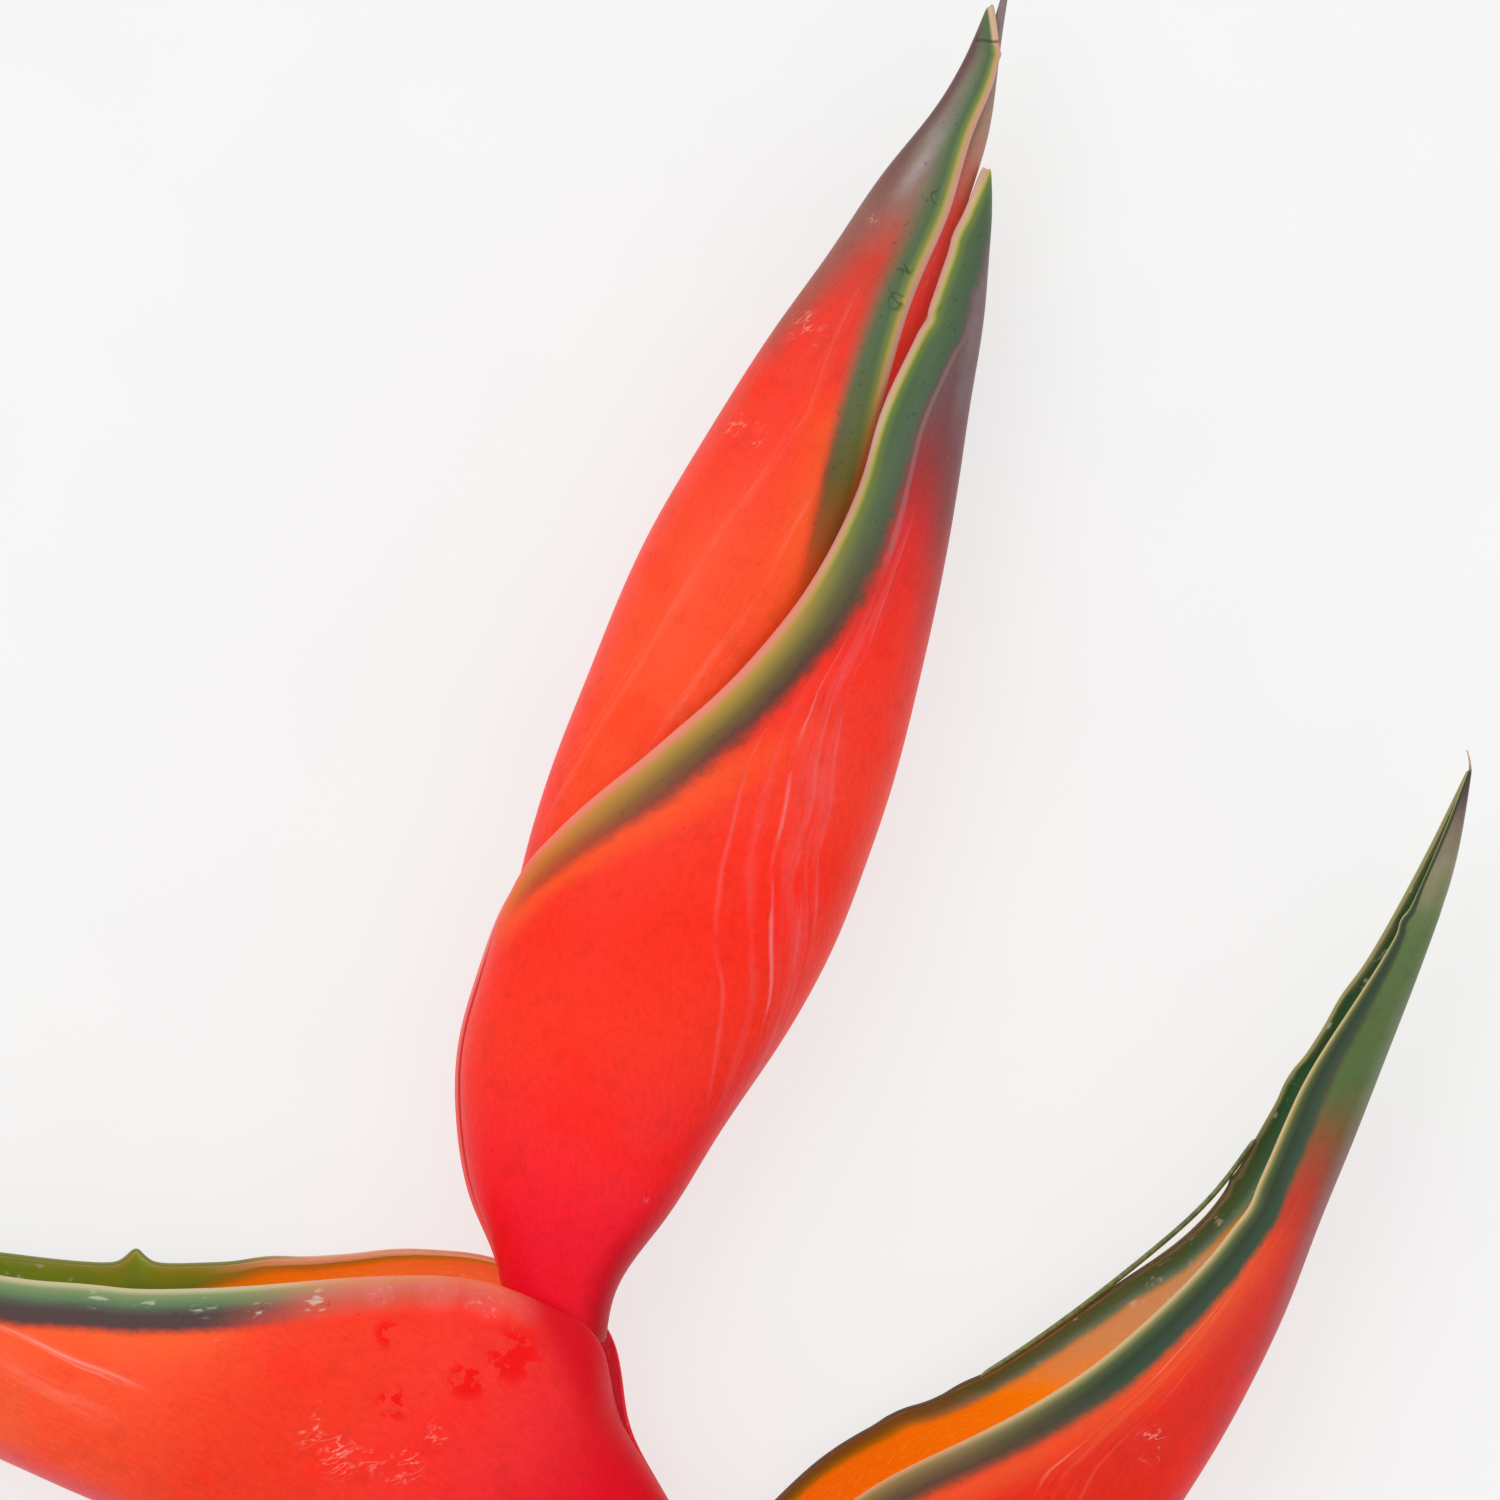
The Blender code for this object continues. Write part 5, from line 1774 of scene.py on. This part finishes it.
def bud_skin():
    """Makes the bud's finish, from red at its foot to grey at its tip."""
    material, shader, here = new_finish("tip_bud_skin")
    along = attribute(here, "along")
    turn = attribute(here, "turn")
    patches = clouds(here, 8.0)
    stops = [
        (0.0, (206, 60, 40)), (0.5, (218, 54, 46)), (0.66, (206, 52, 46)), (0.74, (192, 60, 52)),
        (0.78, (160, 88, 74)), (0.83, (138, 108, 92)), (0.93, (112, 98, 96)), (1.0, (112, 96, 106)),
    ]
    colour = colour_along(along + (patches - 0.5) * 0.05, stops)
    fibre = drawn_out(along, turn, *BUD_STRETCH, 0.2, 4.0, 0.6)
    colour = mixed(rises(fibre, 0.5, 0.8) * 0.25, colour, paint(*BUD_FIBRE))
    finish_off(shader, colour, 0.4 + (patches - 0.5) * 0.15, 0.35, BUD_GLOW)
    add_relief(shader, fibre, 0.4)
    return material


bud = make_bud()
bud.data.materials.append(bud_skin())
print("the bud has", len(bud.data.polygons), "faces")

# %% [markdown]
# ## The stem
#
# A cut stem shows its round skin, with faint ribs and purple mottling, and at its end a pale disc full
# of fibres. A ring is swept along the stem's line with the spin operator, which can also go straight,
# and each ring is then put in its place. The end gets its own material.

# %% Sweep the stem
STEM_RINGS = 220
STEM_SIDES = 48
# The rim round the cut disc, as a share of the radius, and how far the disc lies below it.
CUT_RIM = 0.12
DISC_HOLLOW = 0.35


def swept_ring():
    """Sweeps a ring straight up, one unit to each ring, and gives it and the points of its end discs."""
    body = bmesh.new()
    body.verts.layers.float.new("along")
    body.verts.layers.float.new("turn")
    bmesh.ops.create_circle(body, cap_ends=False, segments=STEM_SIDES, radius=1.0)
    ring = body.edges[:]
    bmesh.ops.spin(
        body,
        geom=ring,
        cent=(0.0, 0.0, 0.0),
        axis=(0.0, 0.0, 1.0),
        dvec=(0.0, 0.0, 1.0),
        angle=0.0,
        steps=STEM_RINGS,
        use_merge=False,
        use_duplicate=False,
    )
    open_edges = [edge for edge in body.edges if edge.is_boundary]
    caps = bmesh.ops.holes_fill(body, edges=open_edges, sides=0)["faces"]
    for cap in caps:
        cap.material_index = 1
    inset = bmesh.ops.inset_individual(body, faces=caps, thickness=CUT_RIM, use_even_offset=True)
    for face in inset["faces"]:
        face.material_index = 1
    return body, set(vert for cap in caps for vert in cap.verts)


swept, discs = swept_ring()
print("the swept ring has", len(swept.faces), "faces, and its discs", len(discs), "points")

# %% Bend it along the stem's line
RIBS = 7
RIB_HEIGHT = 0.10
RIB_TWIST = 2


def make_stem(body, discs):
    """Puts each ring of the swept ring in its place along the stem's line."""
    path = smooth_line(STEM_PATH, np.linspace(0.0, 1.0, STEM_RINGS + 1))
    along_layer = body.verts.layers.float["along"]
    turn_layer = body.verts.layers.float["turn"]
    for vert in body.verts:
        i = min(max(round(vert.co.z), 0), STEM_RINGS)
        angle = math.atan2(vert.co.y, vert.co.x)
        reach = math.hypot(vert.co.x, vert.co.y)
        x, y, height, radius = path[i]
        ahead = path[min(i + 1, STEM_RINGS)] - path[max(i - 1, 0)]
        ahead = Vector(ahead[:3]).normalized()
        right = Vector((ahead.y, -ahead.x, 0.0)).normalized()
        up = right.cross(ahead)
        rib = RIB_HEIGHT * (math.cos(RIBS * angle + RIB_TWIST * i / STEM_RINGS) - 1) / 2
        spot = Vector((x, y, height))
        spot += (right * math.cos(angle) + up * math.sin(angle)) * (radius + rib) * reach
        if vert in discs:
            spot += ahead * (DISC_HOLLOW if i == 0 else -DISC_HOLLOW)
        vert[along_layer] = i / STEM_RINGS
        vert[turn_layer] = angle / math.pi
        vert.co = spot
    bmesh.ops.recalc_face_normals(body, faces=body.faces[:])
    lay_down(body)
    piece = new_piece("fine_stem", body)
    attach(piece, "root")
    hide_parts("stem")
    return piece


stem = make_stem(swept, discs)
print("the stem has", len(stem.data.polygons), "faces")


# %% The stem's skin and cut end
STEM_STRETCH = (20.0, 20.0)
STEM_FIBRE = (150, 176, 92)
MOTTLE = (104, 66, 52)
PALE_SPECK = (206, 214, 186)
# The sap tubes of the cut end, counted over a metre, and the colours round and in them.
SAP_TUBES = 1400.0
CUT_PALE = (196, 200, 140)
CUT_DARK = (146, 124, 70)
CUT_STAIN = (170, 150, 90)
CUT_ROUGHNESS = 0.7
CUT_RELIEF_STRENGTH = 0.5


def stem_skin():
    """Makes the green skin of the stalk and the red one of the zigzag axis, with flecks and fibres."""
    material, shader, here = new_finish("stem_skin")
    along = attribute(here, "along")
    turn = attribute(here, "turn")
    stops = [
        (0.0, (104, 140, 62)), (0.25, (96, 140, 56)), (0.45, (112, 140, 50)), (0.56, (150, 112, 44)),
        (0.62, (206, 52, 36)), (1.0, (220, 40, 34)),
    ]
    patches = clouds(here, 16.0)
    colour = colour_along(along + (patches - 0.5) * 0.06, stops)
    fibre = drawn_out(along, turn, *STEM_STRETCH, 0.4, 4.0, 0.6)
    colour = mixed(rises(fibre, 0.45, 0.8) * 0.35, colour, paint(*STEM_FIBRE))
    mottle = rises(clouds(here, 9.0, 5.0, 0.7), 0.56, 0.66)
    lower = 1 - rises(along, 0.5, 0.62)
    colour = mixed(mottle * lower * 0.7, colour, paint(*MOTTLE))
    specks = rises(clouds(here, 1.6, 2.0), 0.72, 0.80)
    colour = mixed(specks * lower * 0.5, colour, paint(*PALE_SPECK))
    finish_off(shader, colour, 0.4 + (patches - 0.5) * 0.2, 0.4)
    add_relief(shader, fibre + mottle * 0.2, 0.5)
    return material


def stem_cut():
    """Makes the finish of the pale, fibrous cut end."""
    material, shader, here = new_finish("stem_cut")
    tubes = here.node("ShaderNodeTexVoronoi", {"feature": "F1"}, {"Vector": here, "Scale": SAP_TUBES})
    patches = clouds(here, 3.0)
    colour = mixed(rises(tubes, 0.45, 0.2), paint(*CUT_PALE), paint(*CUT_DARK))
    colour = mixed(rises(patches, 0.5, 0.8) * 0.6, colour, paint(*CUT_STAIN))
    connect(colour, shader, "Base Color")
    shader.inputs["Roughness"].default_value = CUT_ROUGHNESS
    add_relief(shader, tubes, 0.5, CUT_RELIEF_STRENGTH)
    return material


stem.data.materials.append(stem_skin())
stem.data.materials.append(stem_cut())
print("the stem's finishes:", [material.name for material in stem.data.materials])

# %% [markdown]
# ## The true flowers
#
# In the bottom of each open bract sits a bunch of small flowers, still in bud, joined at their feet.
# Each bud is a slender spindle with three soft ridges, where its petals will part.

# %% Bunches of flower buds
FLOWER_BUNCHES = {
    "flowers_1": {"start": (13.2, -150.6), "heading": 75.0, "turn": -6.0},
    "flowers_2": {"start": (-17.2, -112.6), "heading": 143.0, "turn": 4.5},
}
FLOWER_BUDS = 5
FLOWER_LENGTH = 27.0
FLOWER_SHORTENING = 0.06
FLOWER_PROFILE = [(0.0, 0.0), (0.12, 1.5), (0.45, 1.9), (0.8, 1.3), (1.0, 0.0)]
FLOWER_SPREAD = 2.4
FLOWER_STRAIGHT_SHARE = 0.7
FLOWER_RINGS = 40
FLOWER_SIDES = 24
PETALS = 3
PETAL_RIDGE = 0.10


def flower_bud(bunch, number):
    """Makes one slender bud of a bunch, counted from 0."""
    step = number - (FLOWER_BUDS - 1) / 2
    heading = math.radians(bunch["heading"] + bunch["turn"] * step)
    length = FLOWER_LENGTH * (1 - FLOWER_SHORTENING * number)
    ahead = np.array((math.cos(heading), math.sin(heading)))
    right = np.array((ahead[1], -ahead[0]))
    start = np.array(bunch["start"])
    keel = []
    back = []
    for share, thickness in FLOWER_PROFILE:
        middle = start + ahead * length * share
        keel.append(tuple(middle + right * thickness))
        back.append(tuple(middle - right * thickness))
    bud_body = spindle(keel, back, FLOWER_PROFILE, FLOWER_RINGS, FLOWER_SIDES)
    bud_body.normal_update()
    turn_layer = bud_body.verts.layers.float["turn"]
    side = 1 if number % 2 else -1
    for vert in bud_body.verts:
        ridge = PETAL_RIDGE * (math.cos(PETALS * math.pi * vert[turn_layer]) - 1)
        vert.co += vert.normal * ridge
        reach = (Vector(vert.co[:2]) - Vector(start)).length / length
        vert.co.z += side * FLOWER_SPREAD * min(reach, FLOWER_STRAIGHT_SHARE)
    return bud_body


def make_flowers(name):
    """Joins the buds of one bunch as one piece."""
    bunch = bmesh.new()
    for number in range(FLOWER_BUDS):
        one = flower_bud(FLOWER_BUNCHES[name], number)
        data = bpy.data.meshes.new("one_bud")
        one.to_mesh(data)
        one.free()
        bunch.from_mesh(data)
        bpy.data.meshes.remove(data)
    lay_down(bunch)
    piece = new_piece("fine_" + name, bunch)
    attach(piece, "root")
    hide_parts(name)
    return piece


flowers = {name: make_flowers(name) for name in FLOWER_BUNCHES}
print("flower bunches:", {name: len(piece.data.polygons) for name, piece in flowers.items()})


# %% The petals' finish
PETAL_STRETCH = (10.0, 10.0)
PETAL_FIBRE = (236, 226, 170)


def petal_skin():
    """Makes the petals' finish, cream at their feet and green at their tips."""
    material, shader, here = new_finish("petal_skin")
    along = attribute(here, "along")
    turn = attribute(here, "turn")
    stops = [(0.0, (226, 214, 150)), (0.4, (214, 196, 90)), (0.75, (150, 168, 70)), (1.0, (90, 120, 60))]
    fibre = drawn_out(along, turn, *PETAL_STRETCH, 0.3)
    colour = colour_along(along, stops)
    colour = mixed(rises(fibre, 0.45, 0.75) * 0.3, colour, paint(*PETAL_FIBRE))
    finish_off(shader, colour, 0.4 + (fibre - 0.5) * 0.2, 0.5)
    add_relief(shader, fibre, 0.3)
    return material


petals = petal_skin()
for piece in flowers.values():
    piece.data.materials.append(petals)
print("both bunches wear", petals.name)

# %% [markdown]
# ## Floor, light and camera
#
# The flower lies on a plain pale floor under soft light, and the camera looks straight down on it from
# far off, turned so that the side view stands upright. A long lens keeps near and far parts alike.

# %% Floor
FLOOR_SIZE = 8.0
FLOOR_GLOW = 0.675
FLOOR_LIGHT = (0.245, 0.245, 0.243, 1.0)
FLOOR_DARK = (0.235, 0.235, 0.234, 1.0)
FLOOR_GLOW_COLOUR = (1.0, 0.995, 0.99, 1.0)
FLOOR_ROUGHNESS = 0.9
FLOOR_GLOSS = 0.1


def floor_finish():
    """Makes the pale floor, which glows a little so that its shadows stay soft."""
    material, shader, here = new_finish("floor_finish")
    grain = clouds(here, 30.0, 2.0)
    colour = mixed(rises(grain, 0.3, 0.7), FLOOR_LIGHT, FLOOR_DARK)
    connect(colour, shader, "Base Color")
    shader.inputs["Emission Color"].default_value = FLOOR_GLOW_COLOUR
    shader.inputs["Emission Strength"].default_value = FLOOR_GLOW
    shader.inputs["Roughness"].default_value = FLOOR_ROUGHNESS
    shader.inputs["Specular IOR Level"].default_value = FLOOR_GLOSS
    return material


floor_mesh = bmesh.new()
bmesh.ops.create_grid(floor_mesh, x_segments=1, y_segments=1, size=FLOOR_SIZE / 2)
floor = new_piece("floor", floor_mesh)
floor.data.materials.append(floor_finish())
print("the floor is", FLOOR_SIZE, "metres wide")

# %% Light
WORLD_STRENGTH = 0.78
# Each light: its place in the side view, its height and its size in metres, and its power in watts.
LIGHTS = {
    "key": {"towards": (-0.8, 0.9), "height": 1.5, "size": 1.4, "power": 12.0},
    "fill": {"towards": (0.9, -0.4), "height": 1.0, "size": 1.4, "power": 2.5},
}

world = bpy.data.worlds.new("studio")
world.use_nodes = True
world.node_tree.nodes["Background"].inputs["Color"].default_value = (1.0, 1.0, 1.0, 1.0)
world.node_tree.nodes["Background"].inputs["Strength"].default_value = WORLD_STRENGTH
bpy.context.scene.world = world
target = place(0.0, 0.0, MIDDLE_HEIGHT)
for name, light in LIGHTS.items():
    data = bpy.data.lights.new(name, "AREA")
    data.size = light["size"]
    data.energy = light["power"]
    lamp = bpy.data.objects.new(name, data)
    bpy.context.scene.collection.objects.link(lamp)
    aside = place(*(part / MM for part in light["towards"]), 0.0) - place(0.0, 0.0, 0.0)
    lamp.location = target + aside + Vector((0.0, 0.0, light["height"]))
    lamp.rotation_euler = (target - lamp.location).to_track_quat("-Z", "Y").to_euler()
    lamp.visible_camera = False
print("lights:", sorted(LIGHTS))

# %% Camera
CAMERA_DISTANCE = 2.0
VIEW_WIDTH = 2 * MIDDLE_PIXEL * PIXEL * MM

camera_data = bpy.data.cameras.new("camera")
camera_data.lens = camera_data.sensor_width * CAMERA_DISTANCE / VIEW_WIDTH
camera = bpy.data.objects.new("camera", camera_data)
bpy.context.scene.collection.objects.link(camera)
camera.location = target + Vector((0.0, 0.0, CAMERA_DISTANCE))
camera.rotation_euler = (0.0, 0.0, -math.radians(LEAN))
bpy.context.scene.camera = camera
bpy.context.scene.view_settings.view_transform = "Standard"
print("the view is", round(VIEW_WIDTH, 3), "metres wide")

# %% [markdown]
# ## The last update
#
# Each packed piece has its dressed one here, and the strip and the hair add almost nothing, so the two
# boxes have to be almost the same. Last the scene is brought up to date.

# %% Bring the scene up to date
bpy.context.view_layer.update()
